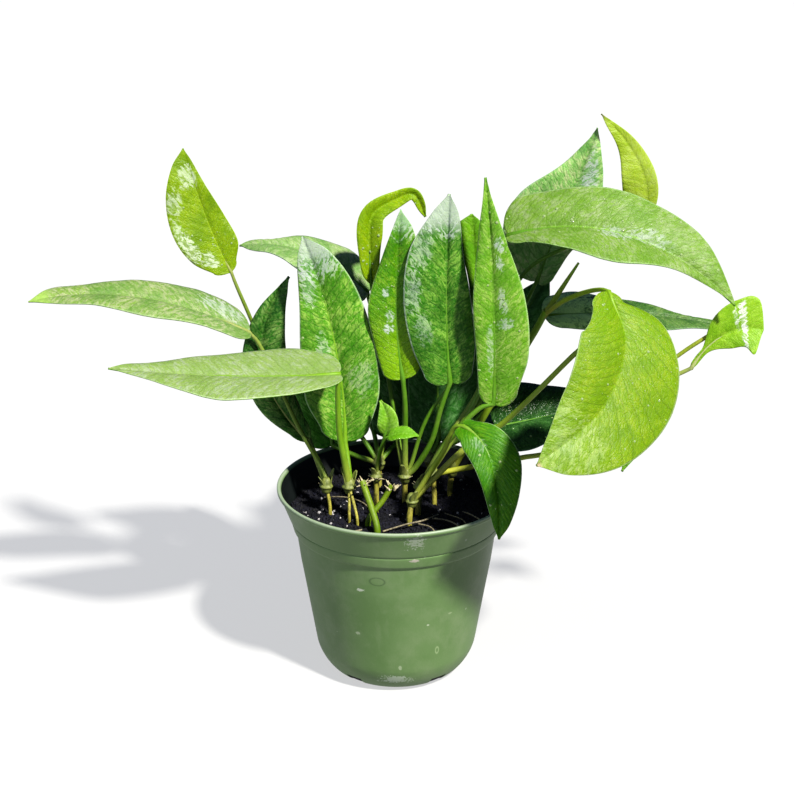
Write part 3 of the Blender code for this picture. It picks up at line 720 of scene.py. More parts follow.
class GeometryTree:
    """A Geometry Nodes tree with named inputs that ends in Realize Instances and Set Material."""

    def __init__(self, name: str, inputs: dict[str, str]) -> None:
        """Make the tree's sockets.

        Args:
            name: The tree's name.
            inputs: Socket kinds by input name.
        """
        self.tree = bpy.data.node_groups.new(name, "GeometryNodeTree")
        self.nodes = NodeMaker(self.tree)
        sockets = self.tree.interface
        sockets.new_socket(name="Geometry", in_out="INPUT", socket_type="NodeSocketGeometry")
        self.keys = {}
        for label, kind in inputs.items():
            socket = sockets.new_socket(name=label, in_out="INPUT", socket_type=f"NodeSocket{kind}")
            self.keys[label] = socket.identifier
        sockets.new_socket(name="Geometry", in_out="OUTPUT", socket_type="NodeSocketGeometry")
        self.group = self.nodes.add("NodeGroupInput")

    def read(self, label: str) -> Socket:
        """Socket that gives an input's value."""
        return self.group.outputs[label]

    def attribute(self, name: str, kind: str = "FLOAT_VECTOR") -> Socket:
        """Socket that gives a named attribute."""
        node = self.nodes.add("GeometryNodeInputNamedAttribute", {"Name": name}, data_type=kind)
        return node.outputs["Attribute"]

    def random(self, low: Any, high: Any, kind: str = "FLOAT") -> Socket:
        """Random value of the tree's seed.

        Args:
            low: The least value, or vector.
            high: The greatest.
            kind: FLOAT, or FLOAT_VECTOR.

        Returns:
            The value.
        """
        first = 2 if kind == "FLOAT" else 0
        inputs = {first: low, first + 1: high, "Seed": self.read("Seed")}
        return self.nodes.add("FunctionNodeRandomValue", inputs, data_type=kind).outputs[first // 2]

    def smooth(self, geometry: Socket) -> Socket:
        """The geometry, shaded smooth."""
        return self.nodes.first("GeometryNodeSetShadeSmooth", {"Geometry": geometry})

    def end(self, geometry: Socket, *materials: tuple[Optional[Socket], Socket]) -> None:
        """Realize instances, set materials and end the tree.

        Args:
            geometry: What has been made.
            materials: Pairs of a selection, or None for all, and a material.
        """
        last = self.nodes.first("GeometryNodeRealizeInstances", {"Geometry": geometry})
        for selection, made in materials:
            inputs = {"Geometry": last, "Material": made}
            if selection is not None:
                inputs["Selection"] = selection
            last = self.nodes.first("GeometryNodeSetMaterial", inputs)
        self.nodes.add("NodeGroupOutput", {0: last})

    def apply(self, item: Item, values: dict) -> Item:
        """Run the tree on an object and keep the result as its plain mesh.

        Args:
            item: The object.
            values: Input values by input name.

        Returns:
            The object, with the finished mesh.
        """
        modifier = item.modifiers.new(self.tree.name, "NODES")
        modifier.node_group = self.tree
        for label, value in values.items():
            modifier[self.keys[label]] = value
        item.data.update()
        keep_result(item)
        return item


class BladeTree(GeometryTree):
    """Turns a sheet with blade and vein coordinates into a quilted blade with two faces."""

    ROLL_SCALE = 75.0
    WELD = 0.000002

    def __init__(self) -> None:
        """Build the tree."""
        super().__init__("leaf_blade", {
            "Quilt Height": "Float", "Rib Depth": "Float", "Roll Height": "Float", "Thickness": "Float",
            "Seed": "Float", "Upper Material": "Material", "Under Material": "Material",
        })
        nodes = self.nodes
        count, apart, _ = nodes.split(self.attribute("vein"))
        out, up, _ = nodes.split(self.attribute("blade"))
        side = nodes.from_middle(out)
        swell = nodes.math("ABSOLUTE", nodes.math("SINE", nodes.times(count, math.pi)))
        fade = nodes.times(nodes.ramp(side, 0.03, 0.25), nodes.ramp(side, 0.75, 1.0, 1.0, 0.0))
        fade = nodes.times(fade, nodes.ramp(up, 0.82, 0.98, 1.0, 0.0))
        relief = nodes.times(nodes.times(nodes.math("POWER", swell, 0.7), fade), self.read("Quilt Height"))
        groove = nodes.ramp(apart, 0.0, 0.13, 1.0, 0.0)
        relief = nodes.minus(relief, nodes.times(groove, self.read("Rib Depth")))
        place = nodes.first("GeometryNodeInputPosition")
        moved = nodes.on_vectors("ADD", place, nodes.vector(self.read("Seed"), 0.0))
        roll = nodes.times(nodes.minus(nodes.noise(moved, self.ROLL_SCALE, 2.0, 0.4), 0.5), side)
        relief = nodes.plus(relief, nodes.times(roll, self.read("Roll Height")))
        inputs = {0: nodes.first("GeometryNodeInputNormal"), "Scale": relief}
        lift = nodes.first("ShaderNodeVectorMath", inputs, operation="SCALE")
        inputs = {"Geometry": self.group.outputs[0], "Offset": lift}
        blade = self.thicken(nodes.first("GeometryNodeSetPosition", inputs), side)
        beneath = self.attribute("beneath", "BOOLEAN")
        self.end(blade, (None, self.read("Upper Material")), (beneath, self.read("Under Material")))

    def thicken(self, sheet: Socket, side: Socket) -> Socket:
        """Give the sheet its under face and its edge, and mark the under face.

        Args:
            sheet: The upper face.
            side: Share from the rib to the rim.

        Returns:
            The closed blade, shaded smooth.
        """
        nodes = self.nodes
        thin = nodes.times(self.read("Thickness"), nodes.ramp(side, 0.8, 1.0, -1.0, -0.6))
        inputs = {"Mesh": sheet, "Offset Scale": thin, "Individual": False}
        pulled = nodes.add("GeometryNodeExtrudeMesh", inputs).outputs["Mesh"]
        turned = nodes.first("GeometryNodeFlipFaces", {"Mesh": pulled})
        inputs = {"Geometry": turned, "Name": "beneath", "Value": True}
        marked = nodes.add("GeometryNodeStoreNamedAttribute", inputs, data_type="BOOLEAN", domain="FACE")
        joined = nodes.add("GeometryNodeJoinGeometry")
        nodes.plug(joined.inputs[0], sheet)
        nodes.plug(joined.inputs[0], marked.outputs[0])
        inputs = {"Geometry": joined.outputs[0], "Distance": self.WELD}
        return self.smooth(nodes.first("GeometryNodeMergeByDistance", inputs))


class StemTree(GeometryTree):
    """Turns lines with girth and rise attributes into round stems."""

    UNEVEN_SCALE = 140.0

    def __init__(self) -> None:
        """Build the tree."""
        super().__init__("stem", {"Sides": "Int", "Swell": "Float", "Material": "Material"})
        nodes = self.nodes
        line = nodes.first("GeometryNodeMeshToCurve", {"Mesh": self.group.outputs[0]})
        uneven = nodes.noise(nodes.first("GeometryNodeInputPosition"), self.UNEVEN_SCALE, 2.0)
        swell = nodes.times(nodes.minus(uneven, 0.5), self.read("Swell"))
        radius = nodes.times(self.attribute("girth", "FLOAT"), nodes.plus(swell, 1.0))
        inputs = {"Resolution": self.read("Sides"), "Radius": 1.0}
        ring = nodes.add("GeometryNodeCurvePrimitiveCircle", inputs)
        tube = nodes.first("GeometryNodeCurveToMesh", {
            "Curve": line, "Profile Curve": ring.outputs[0], "Scale": radius, "Fill Caps": True,
        })
        self.end(self.smooth(tube), (None, self.read("Material")))


class StrewTree(GeometryTree):
    """Strews small rough lumps over a surface, most where its spread attribute is high."""

    FLATNESS = 0.75
    ROUGH_SCALE = 420.0
    WHOLE_TURNS = (6.28, 6.28, 6.28)

    def __init__(self) -> None:
        """Build the tree."""
        super().__init__("strewn_lumps", {
            "Density": "Float", "Smallest": "Float", "Largest": "Float", "Roughness": "Float",
            "Fineness": "Int", "Seed": "Int", "Material": "Material",
        })
        nodes = self.nodes
        density = nodes.times(self.attribute("spread", "FLOAT"), self.read("Density"))
        points = nodes.add("GeometryNodeDistributePointsOnFaces", {
            "Mesh": self.group.outputs[0], "Density": density, "Seed": self.read("Seed"),
        })
        inputs = {"Radius": 1.0, "Subdivisions": self.read("Fineness")}
        ball = nodes.add("GeometryNodeMeshIcoSphere", inputs)
        size = self.random(self.read("Smallest"), self.read("Largest"))
        turn = self.random((0.0, 0.0, 0.0), self.WHOLE_TURNS, "FLOAT_VECTOR")
        lumps = nodes.first("GeometryNodeInstanceOnPoints", {
            "Points": points.outputs[0], "Instance": ball.outputs[0], "Rotation": turn,
            "Scale": nodes.vector(size, nodes.times(size, self.FLATNESS), size),
        })
        real = nodes.first("GeometryNodeRealizeInstances", {"Geometry": lumps})
        place = nodes.first("GeometryNodeInputPosition")
        inputs = {"Vector": place, "Scale": self.ROUGH_SCALE, "Detail": 2.0}
        rough = nodes.add("ShaderNodeTexNoise", inputs).outputs["Color"]
        inputs = {0: nodes.on_vectors("SUBTRACT", rough, (0.5, 0.5, 0.5)), "Scale": self.read("Roughness")}
        push = nodes.first("ShaderNodeVectorMath", inputs, operation="SCALE")
        rugged = nodes.first("GeometryNodeSetPosition", {"Geometry": real, "Offset": push})
        self.end(rugged, (None, self.read("Material")))


class DropTree(GeometryTree):
    """Sets flat domes of water on the upper faces of a finished blade."""

    DAMP_SCALE = 90.0
    FEW_LARGE = 3.0

    def __init__(self) -> None:
        """Build the tree."""
        super().__init__("water_drops", {
            "Density": "Float", "Smallest": "Float", "Largest": "Float", "Flatness": "Float", "Seed": "Int",
            "Material": "Material",
        })
        nodes = self.nodes
        under = self.attribute("beneath", "BOOLEAN")
        above = nodes.first("FunctionNodeBooleanMath", {0: under}, operation="NOT")
        place = nodes.first("GeometryNodeInputPosition")
        damp = nodes.ramp(nodes.noise(place, self.DAMP_SCALE, 2.0), 0.42, 0.62)
        points = nodes.add("GeometryNodeDistributePointsOnFaces", {
            "Mesh": self.group.outputs[0], "Selection": above, "Seed": self.read("Seed"),
            "Density": nodes.times(damp, self.read("Density")),
        })
        ball = nodes.add("GeometryNodeMeshUVSphere", {"Segments": 8, "Rings": 5, "Radius": 1.0})
        share = nodes.math("POWER", self.random(0.0, 1.0), self.FEW_LARGE)
        spread = nodes.minus(self.read("Largest"), self.read("Smallest"))
        size = nodes.plus(self.read("Smallest"), nodes.times(share, spread))
        drops = nodes.first("GeometryNodeInstanceOnPoints", {
            "Points": points.outputs[0], "Instance": ball.outputs[0],
            "Rotation": points.outputs["Rotation"],
            "Scale": nodes.vector(size, size, nodes.times(size, self.read("Flatness"))),
        })
        self.end(self.smooth(drops), (None, self.read("Material")))


@dataclass(frozen=True)
class Trees:
    """The four node trees, built once."""

    blade: BladeTree = field(default_factory=BladeTree)
    stem: StemTree = field(default_factory=StemTree)
    strew: StrewTree = field(default_factory=StrewTree)
    drops: DropTree = field(default_factory=DropTree)


def new_object(name: str, data: bpy.types.ID) -> Item:
    """Make an object of some data and link it to the scene.

    Args:
        name: The object's name.
        data: Its mesh, light or camera.

    Returns:
        The object.
    """
    item = bpy.data.objects.new(name, data)
    bpy.context.scene.collection.objects.link(item)
    return item


def mesh_object(name: str, mesh: EditMesh, smooth: bool = True) -> Item:
    """Turn a bmesh into a named object.

    Args:
        name: The object's name.
        mesh: The bmesh, which is freed.
        smooth: Whether its faces are shaded smooth.

    Returns:
        The object.
    """
    data = bpy.data.meshes.new(name)
    mesh.to_mesh(data)
    mesh.free()
    if smooth:
        data.shade_smooth()
    return new_object(name, data)


def grid_mesh(name: str, points: list, rows: int, columns: int) -> bpy.types.Mesh:
    """Make the mesh of a grid.

    Args:
        name: The mesh's name.
        points: Its points in metres, row by row.
        rows: Number of rows of faces.
        columns: Number of faces in a row.

    Returns:
        The mesh.
    """
    count = columns + 1
    corners = [row * count + place for row in range(rows) for place in range(columns)]
    faces = [(corner, corner + 1, corner + count + 1, corner + count) for corner in corners]
    data = bpy.data.meshes.new(name)
    data.from_pydata(points, [], faces)
    return data


def line_object(name: str, lines: list) -> Item:
    """Make an object of plain lines whose points carry girth and rise.

    Args:
        name: The object's name.
        lines: Lists of (point in mm, girth in mm, rise) for each line.

    Returns:
        The object.
    """
    points, edges, girths, rises = [], [], [], []
    for line in lines:
        first = len(points)
        edges += [(first + step, first + step + 1) for step in range(len(line) - 1)]
        for point, girth, rise in line:
            points.append(metres(point))
            girths.append(girth * MM)
            rises.append(rise)
    data = bpy.data.meshes.new(name)
    data.from_pydata(points, edges, [])
    for label, values in (("girth", girths), ("rise", rises)):
        data.attributes.new(label, "FLOAT", "POINT").data.foreach_set("value", values)
    return new_object(name, data)


def settle(item: Item, slot: str, *nodes: str) -> None:
    """Hang a finished piece on the root and hide the frame's nodes that it stands for.

    Args:
        item: The piece.
        slot: The record's material slot; not used.
        nodes: The frame's nodes that it replaces.
    """
    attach(item, "root")
    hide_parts(*nodes)
    LOG.info("%s: %d faces", item.name, len(item.data.polygons))


@dataclass(frozen=True)
class Stems:
    """How a piece of round stems is made: its sides, unevenness, skin and slot."""

    sides: int
    swell: float
    skin: Union[StemFinish, BarkFinish]
    slot: str = "stem_green"

    def build(self, name: str, node: str, lines: list, trees: Trees) -> None:
        """Args:
            name: The piece's name.
            node: The frame's node that it belongs to.
            lines: Lists of (point in mm, girth in mm, rise) for each line.
            trees: The node trees.
        """
        item = line_object(name, lines)
        made = self.skin.material(f"{name}_skin")
        trees.stem.apply(item, {"Sides": self.sides, "Swell": self.swell, "Material": made})
        settle(item, self.slot, node)


ROOTS = Stems(10, 0.5, BarkFinish("C6C04A", "7C7420", 0.7))
SCRAPS = Stems(6, 0.9, BarkFinish("E0D8AC", "6A5630"))
TORN_END = Stems(7, 0.9, BarkFinish("E6DCB4"))
CUTTING_STEM = Stems(14, 0.12, StemFinish("A0A818", "6E900C", "84A01A"))
LOOSE_ROOTS = Stems(8, 0.8, BarkFinish("A79C7A", "3A3322", 0.7), "potting_soil")


@dataclass(frozen=True)
class Leaf:
    """One leaf: rib, half widths, petiole and finish. Sizes are as in the solids, in mm.

    left is as right where it isn't given. petiole runs from the blade towards the crown,
    whose point the shoot adds. lobes are how far the base reaches back on the
    right and left, girth is the petiole's at the blade and at the crown, and drops is how
    many water drops a square metre would have.
    """

    rib: tuple
    right: tuple
    petiole: tuple
    finish: LeafFinish
    left: tuple = ()
    facing: Point = FACING_FRONT
    lobes: tuple = (2.0, 2.0)
    fold: float = 8.0
    girth: tuple = (1.1, 1.5)
    camber: float = 1.3
    ripple: float = 0.7
    quilt: float = 0.32
    groove: float = 0.3
    spacing: float = 4.6
    lean: float = 0.95
    drops: int = 0

    STATIONS = (0.0, 0.08, 0.25, 0.5, 0.75, 0.92, 1.0)
    TIP_WIDTH = 0.3
    BASE_SHARE = 0.35
    BASE_ROUND = 0.85
    RIB_STEP = 0.002
    LENGTH_STEPS = 24
    CELL = 1.15
    CELL_ACROSS = 0.95
    LEAST_ROWS = 14
    LEAST_COLUMNS = 5
    RIM_CROWDING = 1.12
    END_CROWDING = 0.06
    LOBE_REACH = 0.6
    LOBE_FADE = 1.2
    RIPPLES = 2.2
    RIPPLE_SHIFT = 0.37
    ARCH_REACH = 6.0
    ARCH_SHARE = 2.8
    VEIN_CURVE = 0.012
    FIRST_VEIN = 40.0
    ACROSS_SHARE = 0.1
    SEED_STEP = 0.61
    ROLL = 1.1
    THICKNESS = 0.6
    DROP_SIZES = (0.2, 0.75)
    DROP_FLATNESS = 0.42
    SLIM = 0.86
    STALK_STEPS = 4
    STALK_RISE = 0.75
    BASE_END = 0.14
    UNDER_TAPER = 0.8
    UNDER_SLIM = 0.95
    UNDER_ROOM = 0.25
    UNDER_BLADE = (0.0, 0.06, BASE_END, 0.25, 0.4, 0.6, 0.8)

    def half_width(self, stations: tuple, share: float) -> float:
        """Half width of the blade: a round base, then a smooth run to the tip.

        Args:
            stations: Half widths at the stations.
            share: Share along the rib.

        Returns:
            The half width in mm.
        """
        values, places = (*stations, 0.0), self.STATIONS
        if share < places[1]:
            start = values[0] * self.BASE_SHARE
            return start + (values[1] - start) * (1 - (1 - share / places[1]) ** 2) ** self.BASE_ROUND
        last = len(places) - 1
        span = max(place for place in range(1, last) if places[place] <= share)
        slopes = []
        for place in (span, span + 1):
            before, after = max(place - 1, 1), min(place + 1, last)
            slopes.append((values[after] - values[before]) / (places[after] - places[before]))
        reach = places[span + 1] - places[span]
        part = (share - places[span]) / reach
        width = (
            values[span] * (1 + 2 * part) * (1 - part) ** 2 + values[span + 1] * (3 - 2 * part) * part**2
            + reach * (slopes[0] * part * (1 - part) ** 2 - slopes[1] * (1 - part) * part**2)
        )
        return max(width, self.TIP_WIDTH)

    def rib_frame(self, share: float) -> tuple[Vector, Vector, Vector, Vector]:
        """Place and directions at a share of the rib.

        Args:
            share: Share along the rib.

        Returns:
            The place in mm, then the forward, outward and sideways directions.
        """
        place = along(self.rib, share)
        ahead = along(self.rib, min(share + self.RIB_STEP, 1))
        forward = (ahead - along(self.rib, max(share - self.RIB_STEP, 0))).normalized()
        out = Vector(self.facing)
        out = (out - forward * out.dot(forward)).normalized()
        return place, forward, out, forward.cross(out)

    def row(self, share: float, reaches: list[float], phase: float) -> list[tuple[Vector, float]]:
        """Points across the blade at a share of the rib.

        Args:
            share: Share along the rib.
            reaches: Places across, from -1 (left) to 1.
            phase: Moves the margin's ripples.

        Returns:
            For each place its point and its distance from the rib, in mm.
        """
        place, forward, out, side = self.rib_frame(share)
        cosine, sine = math.cos(math.radians(self.fold)), math.sin(math.radians(self.fold))
        ends = smooth_step(0.0, 0.15, share) * smooth_step(1.0, 0.8, share)
        points = []
        for reach in reaches:
            right, spread = reach > 0, abs(reach)
            stations = self.right if right or not self.left else self.left
            whole = self.half_width(stations, share)
            width = whole * spread
            apart = width / (self.LOBE_REACH * stations[1])
            swell = 1 - (1 - apart) ** 2 if apart < 1 else math.exp(-self.LOBE_FADE * (apart - 1) ** 2)
            back = self.lobes[0 if right else 1] * (1 - share) ** 4 * swell
            turn = 2 * math.pi * (self.RIPPLES * share + phase + (self.RIPPLE_SHIFT if right else 0.0))
            wave = self.ripple * spread**2 * math.sin(turn) * ends
            arch = self.camber * self.ARCH_SHARE * spread * (1 - spread) * ends
            rise = width * sine + wave + arch * min(whole / self.ARCH_REACH, 1.0)
            sideways = math.copysign(width * cosine, reach)
            points.append((place - forward * back + side * sideways + out * rise, width))
        return points

    def rib_length(self) -> float:
        """Length of the rib in mm."""
        steps = [along(self.rib, step / self.LENGTH_STEPS) for step in range(self.LENGTH_STEPS + 1)]
        return sum((after - before).length for before, after in zip(steps, steps[1:]))

    def sheet(self, name: str, phase: float) -> Item:
        """Make the blade's upper face as a sheet with its two coordinate maps.

        Args:
            name: The object's name.
            phase: Moves the ripples.

        Returns:
            The sheet.
        """
        length = self.rib_length()
        rows = max(self.LEAST_ROWS, round(length / self.CELL))
        wide = max(self.right + self.left) / self.CELL * self.CELL_ACROSS
        columns = 2 * max(self.LEAST_COLUMNS, round(wide))
        reaches = [2 * step / columns - 1 for step in range(columns + 1)]
        reaches = [math.copysign(abs(reach) ** self.RIM_CROWDING, reach) for reach in reaches]
        points, maps, veins = [], [], []
        for step in range(rows + 1):
            share = step / rows - self.END_CROWDING * math.sin(2 * math.pi * step / rows)
            for (point, width), reach in zip(self.row(share, reaches, phase), reaches):
                points.append(metres(point))
                maps.append((reach / 2 + 0.5, share))
                curved = self.lean * width - self.VEIN_CURVE * width**2
                count = (share * length - curved) / self.spacing + self.FIRST_VEIN
                veins.append((count, width * self.ACROSS_SHARE))
        data = grid_mesh(name, points, rows, columns)
        for label, values in (("blade", maps), ("vein", veins)):
            layer = data.uv_layers.new(name=label)
            corners = [value for loop in data.loops for value in values[loop.vertex_index]]
            layer.data.foreach_set("uv", corners)
        data.update()
        return new_object(name, data)

    def build(self, name: str, node: str, trees: Trees, number: int) -> None:
        """Args:
            name: The leaf's name.
            node: The frame's node that it belongs to.
            trees: The node trees.
            number: The leaf's number.
        """
        seed = number * self.SEED_STEP
        item = self.sheet(f"{node}_{name}", (number * self.RIPPLE_SHIFT) % 1.0)
        trees.blade.apply(item, {
            "Quilt Height": self.quilt * MM, "Rib Depth": self.groove * MM, "Roll Height": self.ROLL * MM,
            "Thickness": self.THICKNESS * MM, "Seed": seed,
            "Upper Material": self.finish.upper(name, seed),
            "Under Material": self.finish.beneath(name, seed),
        })
        settle(item, "leaf_green", node)
        if self.drops:
            self.wet(item, node, trees, number)

    def wet(self, blade: Item, node: str, trees: Trees, number: int) -> None:
        """Set water drops on the finished blade.

        Args:
            blade: The blade.
            node: The frame's node that it belongs to.
            trees: The node trees.
            number: The leaf's number.
        """
        item = new_object(f"{blade.name}_drops", blade.data.copy())
        smallest, largest = self.DROP_SIZES
        trees.drops.apply(item, {
            "Density": float(self.drops), "Smallest": smallest * MM, "Largest": largest * MM,
            "Flatness": self.DROP_FLATNESS, "Seed": number, "Material": WaterFinish().material(),
        })
        settle(item, "leaf_green", node)

    def stalk(self, foot: list) -> list:
        """Line of the petiole, from the crown up to its end as a rib under the blade.

        Args:
            foot: The point that it grows from, in mm, or none if its own first point does.

        Returns:
            A list of (point in mm, girth in mm, rise).
        """
        route = foot + list(reversed(self.petiole)) + [self.rib[0]]
        steps = max(10, self.STALK_STEPS * len(route))
        line = [
            (point, girth * self.SLIM, self.STALK_RISE * share)
            for point, girth, share in tapered(route, steps, self.girth[1], self.girth[0])[:-1]
        ]
        for share in self.UNDER_BLADE:
            place, _, out, _ = self.rib_frame(share)
            girth = self.girth[0] * (1 - share) ** self.UNDER_TAPER * (self.UNDER_SLIM if share else 1.0)
            depth = self.THICKNESS * 0.6 + self.UNDER_ROOM + girth * 0.25
            depth *= min(1.0, share / self.BASE_END)
            line.append((place - out * depth, girth, self.STALK_RISE + (1 - self.STALK_RISE) * share))
        return line


@dataclass(frozen=True)
class Sheath:
    """A papery scale that hugs the foot of a stem."""

    turn: float
    height: float
    radius: float = 2.3

    HALF_ANGLE = 62.0
    FLARE = 1.6
    NARROWING = 0.55
    SINK = 1.0
    WALL = 0.35
    CELLS = 8

    def skin(self, mesh: EditMesh, crown: Point, inward: float) -> list:
        """Add the points of one face of the scale.

        Args:
            mesh: The mesh to add to.
            crown: The crown that it grows from, in mm.
            inward: How far this face lies inside the outer one, in mm.

        Returns:
            Rows of points, from the foot up.
        """
        rows = []
        for row in range(self.CELLS + 1):
            share = row / self.CELLS
            reach = math.radians(self.HALF_ANGLE) * (1.03 - share) ** self.NARROWING
            radius = self.radius + self.FLARE * share**2 - inward
            height = share * self.height - self.SINK
            line = []
            for column in range(self.CELLS + 1):
                turn = math.radians(self.turn) + reach * (2 * column / self.CELLS - 1)
                line.append(mesh.verts.new(metres(Vector(crown) + round_axis(radius, turn, height))))
            rows.append(line)
        return rows

    def add_to(self, mesh: EditMesh, crown: Point) -> None:
        """Add the scale as a closed thin strip.

        Args:
            mesh: The mesh to add to.
            crown: The crown that it grows from, in mm.
        """
        outer, inner = (self.skin(mesh, crown, inward) for inward in (0.0, self.WALL))
        last = self.CELLS
        for row in range(last):
            for column in range(last):
                corners = ((row, column), (row, column + 1), (row + 1, column + 1), (row + 1, column))
                mesh.faces.new([outer[a][b] for a, b in corners])
                mesh.faces.new([inner[a][b] for a, b in reversed(corners)])
        steps = range(last)
        rim = [(0, step) for step in steps] + [(step, last) for step in steps]
        rim += [(last, last - step) for step in steps] + [(last - step, 0) for step in steps]
        for (a, b), (c, d) in zip(rim, rim[1:] + rim[:1]):
            mesh.faces.new((outer[c][d], outer[a][b], inner[a][b], inner[c][d]))


def closed_body(mesh: EditMesh, rings: list, first: Vector, last: Vector) -> None:
    """Add a closed body that runs from a point over rings of points to another point.

    Args:
        mesh: The mesh to add to.
        rings: Rings with the same number of points, in mm.
        first: The point that closes the first ring, in mm.
        last: The point that closes the last ring, in mm.
    """
    start, end = mesh.verts.new(metres(first)), mesh.verts.new(metres(last))
    rings = [[mesh.verts.new(metres(point)) for point in ring] for ring in rings]
    sides = len(rings[0])
    for side in range(sides):
        after = (side + 1) % sides
        mesh.faces.new((start, rings[0][after], rings[0][side]))
        mesh.faces.new((end, rings[-1][side], rings[-1][after]))
        for ring, following in zip(rings, rings[1:]):
            mesh.faces.new((ring[side], ring[after], following[after], following[side]))
    bmesh.ops.recalc_face_normals(mesh, faces=mesh.faces)


def turned_body(
    mesh: EditMesh, outline: list, sides: int, centre: Point = (0, 0, 0), uneven: float = 0.0,
) -> None:
    """Add a closed turned body that ends on its axis.

    Args:
        mesh: The mesh to add to.
        outline: Pairs of radius and height in mm.
        sides: Number of sides.
        centre: Where its axis and its zero height are, in mm.
        uneven: Share by which the radius varies round the body.
    """
    middle = Vector(centre)
    turns = [2 * math.pi * side / sides for side in range(sides)]
    rings = []
    for radius, height in outline:
        ring = []
        for turn in turns:
            grown = radius * (1 + uneven * math.sin(3 * turn + middle.x) * math.cos(2 * turn + height))
            ring.append(middle + round_axis(grown, turn, height))
        rings.append(ring)
    ends = [middle + Vector((0, 0, outline[place][1])) for place in (0, -1)]
    closed_body(mesh, rings, *ends)


@dataclass(frozen=True)
class Fibres:
    """Short torn fibres that stand out from a place, size times those of a small wound."""

    count: int
    size: float

    LENGTH = 2.6
    GIRTH = 0.42
    SPREAD = 0.9
    SINK = 1.2
    STEPS = (0, 0.35, 0.7, 1.0)

    def lines(self, seed: str, top: Vector) -> list:
        """Lines of the fibres.

        Args:
            seed: Seed of the random draw.
            top: The place, in mm.

        Returns:
            A line of (point in mm, girth in mm, rise) for each fibre.
        """
        draw = random.Random(seed)
        fibres = []
        for _ in range(self.count):
            lean = Vector((draw.uniform(-1, 1), draw.uniform(-1, 1), draw.uniform(0.1, 1.0)))
            lean = lean * self.LENGTH * self.size
            spot = (draw.uniform(-self.SPREAD, self.SPREAD), draw.uniform(-self.SPREAD, self.SPREAD))
            start = top + Vector((*spot, -self.SINK)) * self.size
            girth = self.GIRTH * self.size
            fibres.append([(start + lean * step, girth * (1.2 - step), step) for step in self.STEPS])
        return fibres


@dataclass(frozen=True)
class Shoot:
    """One rooted shoot: crown, roots, extra stems, sheaths and dry scraps, in mm.

    from_crown says whether its petioles grow from the crown or from an extra stem.
    """

    crown: Point
    roots: tuple
    knob: float = 3.0
    stems: tuple = ()
    sheaths: tuple = ()
    scraps: int = 0
    from_crown: bool = True
    finish: StemFinish = StemFinish()

    KNUCKLE = (
        (0.4, -1.2), (0.75, -1.0), (0.9, -0.55), (0.98, -0.25), (1.18, -0.1), (1.2, 0.08),
        (1.0, 0.22), (0.9, 0.5), (0.75, 0.95), (0.5, 1.3),
    )
    KNUCKLE_SLIM = 0.88
    KNUCKLE_SIDES = 20
    KNUCKLE_UNEVEN = 0.07
    CROWN_SKIN = BarkFinish("98A24E", "56641E", 0.6)
    STEM_SIDES = 12
    STEM_STEPS = 6
    STEM_SWELL = 0.18
    SOIL_TOP = 78.0
    ROOT_DEPTH = 14.0
    MOUTH_HEIGHT = 4.0
    ROOT_SLIM = 0.78
    ROOT_STEPS = 18
    SCRAP_HEIGHT = 0.6
    SCRAP_SIZE = 1.5

    def crown_piece(self, node: str) -> None:
        """Build the swollen crown with its leaf scars and its sheaths.

        Args:
            node: The frame's node.
        """
        mesh = bmesh.new()
        width = self.knob * self.KNUCKLE_SLIM
        outline = [(radius * width, height * self.knob) for radius, height in self.KNUCKLE]
        turned_body(mesh, outline, self.KNUCKLE_SIDES, self.crown, self.KNUCKLE_UNEVEN)
        for sheath in self.sheaths:
            sheath.add_to(mesh, self.crown)
        bmesh.ops.recalc_face_normals(mesh, faces=mesh.faces)
        item = mesh_object(f"{node}_crown", mesh)
        item.data.materials.append(self.CROWN_SKIN.material(f"{node}_crown_skin"))
        settle(item, "stem_green", node)

    def build(self, node: str, leaves: dict[str, Leaf], trees: Trees, first: int) -> int:
        """Build the shoot's pieces.

        Args:
            node: The frame's node.
            leaves: Its leaves by name.
            trees: The node trees.
            first: Number of the first leaf.

        Returns:
            The number after the last leaf.
        """
        self.crown_piece(node)
        foot = [self.crown] if self.from_crown else []
        lines = [leaf.stalk(foot) for leaf in leaves.values()]
        lines += [tapered(route, self.STEM_STEPS * len(route), *girth) for route, girth in self.stems]
        Stems(self.STEM_SIDES, self.STEM_SWELL, self.finish).build(f"{node}_stems", node, lines, trees)
        ROOTS.build(f"{node}_roots", node, [self.root(*root) for root in self.roots], trees)
        if self.scraps:
            top = Vector(self.crown) + Vector((0.0, 0.0, self.SCRAP_HEIGHT))
            fibres = Fibres(self.scraps, self.SCRAP_SIZE).lines(node, top)
            SCRAPS.build(f"{node}_scraps", node, fibres, trees)
        for number, (name, leaf) in enumerate(leaves.items(), first):
            leaf.build(name, node, trees, number)
        return first + len(leaves)

    def root(self, x: float, y: float, girth: float) -> list:
        """Line of a root from the crown into the soil.

        Args:
            x: Where it enters the soil, in mm.
            y: The same, front to back.
            girth: Its girth in mm.

        Returns:
            A list of (point in mm, girth in mm, rise).
        """
        mouth = Vector((x, y, self.SOIL_TOP + self.MOUTH_HEIGHT))
        floor = Vector((x, y, self.SOIL_TOP - self.ROOT_DEPTH))
        route = [Vector(self.crown), mouth, mouth.lerp(floor, 0.5), floor]
        slim = girth * self.ROOT_SLIM
        return tapered(route, self.ROOT_STEPS, slim, slim)


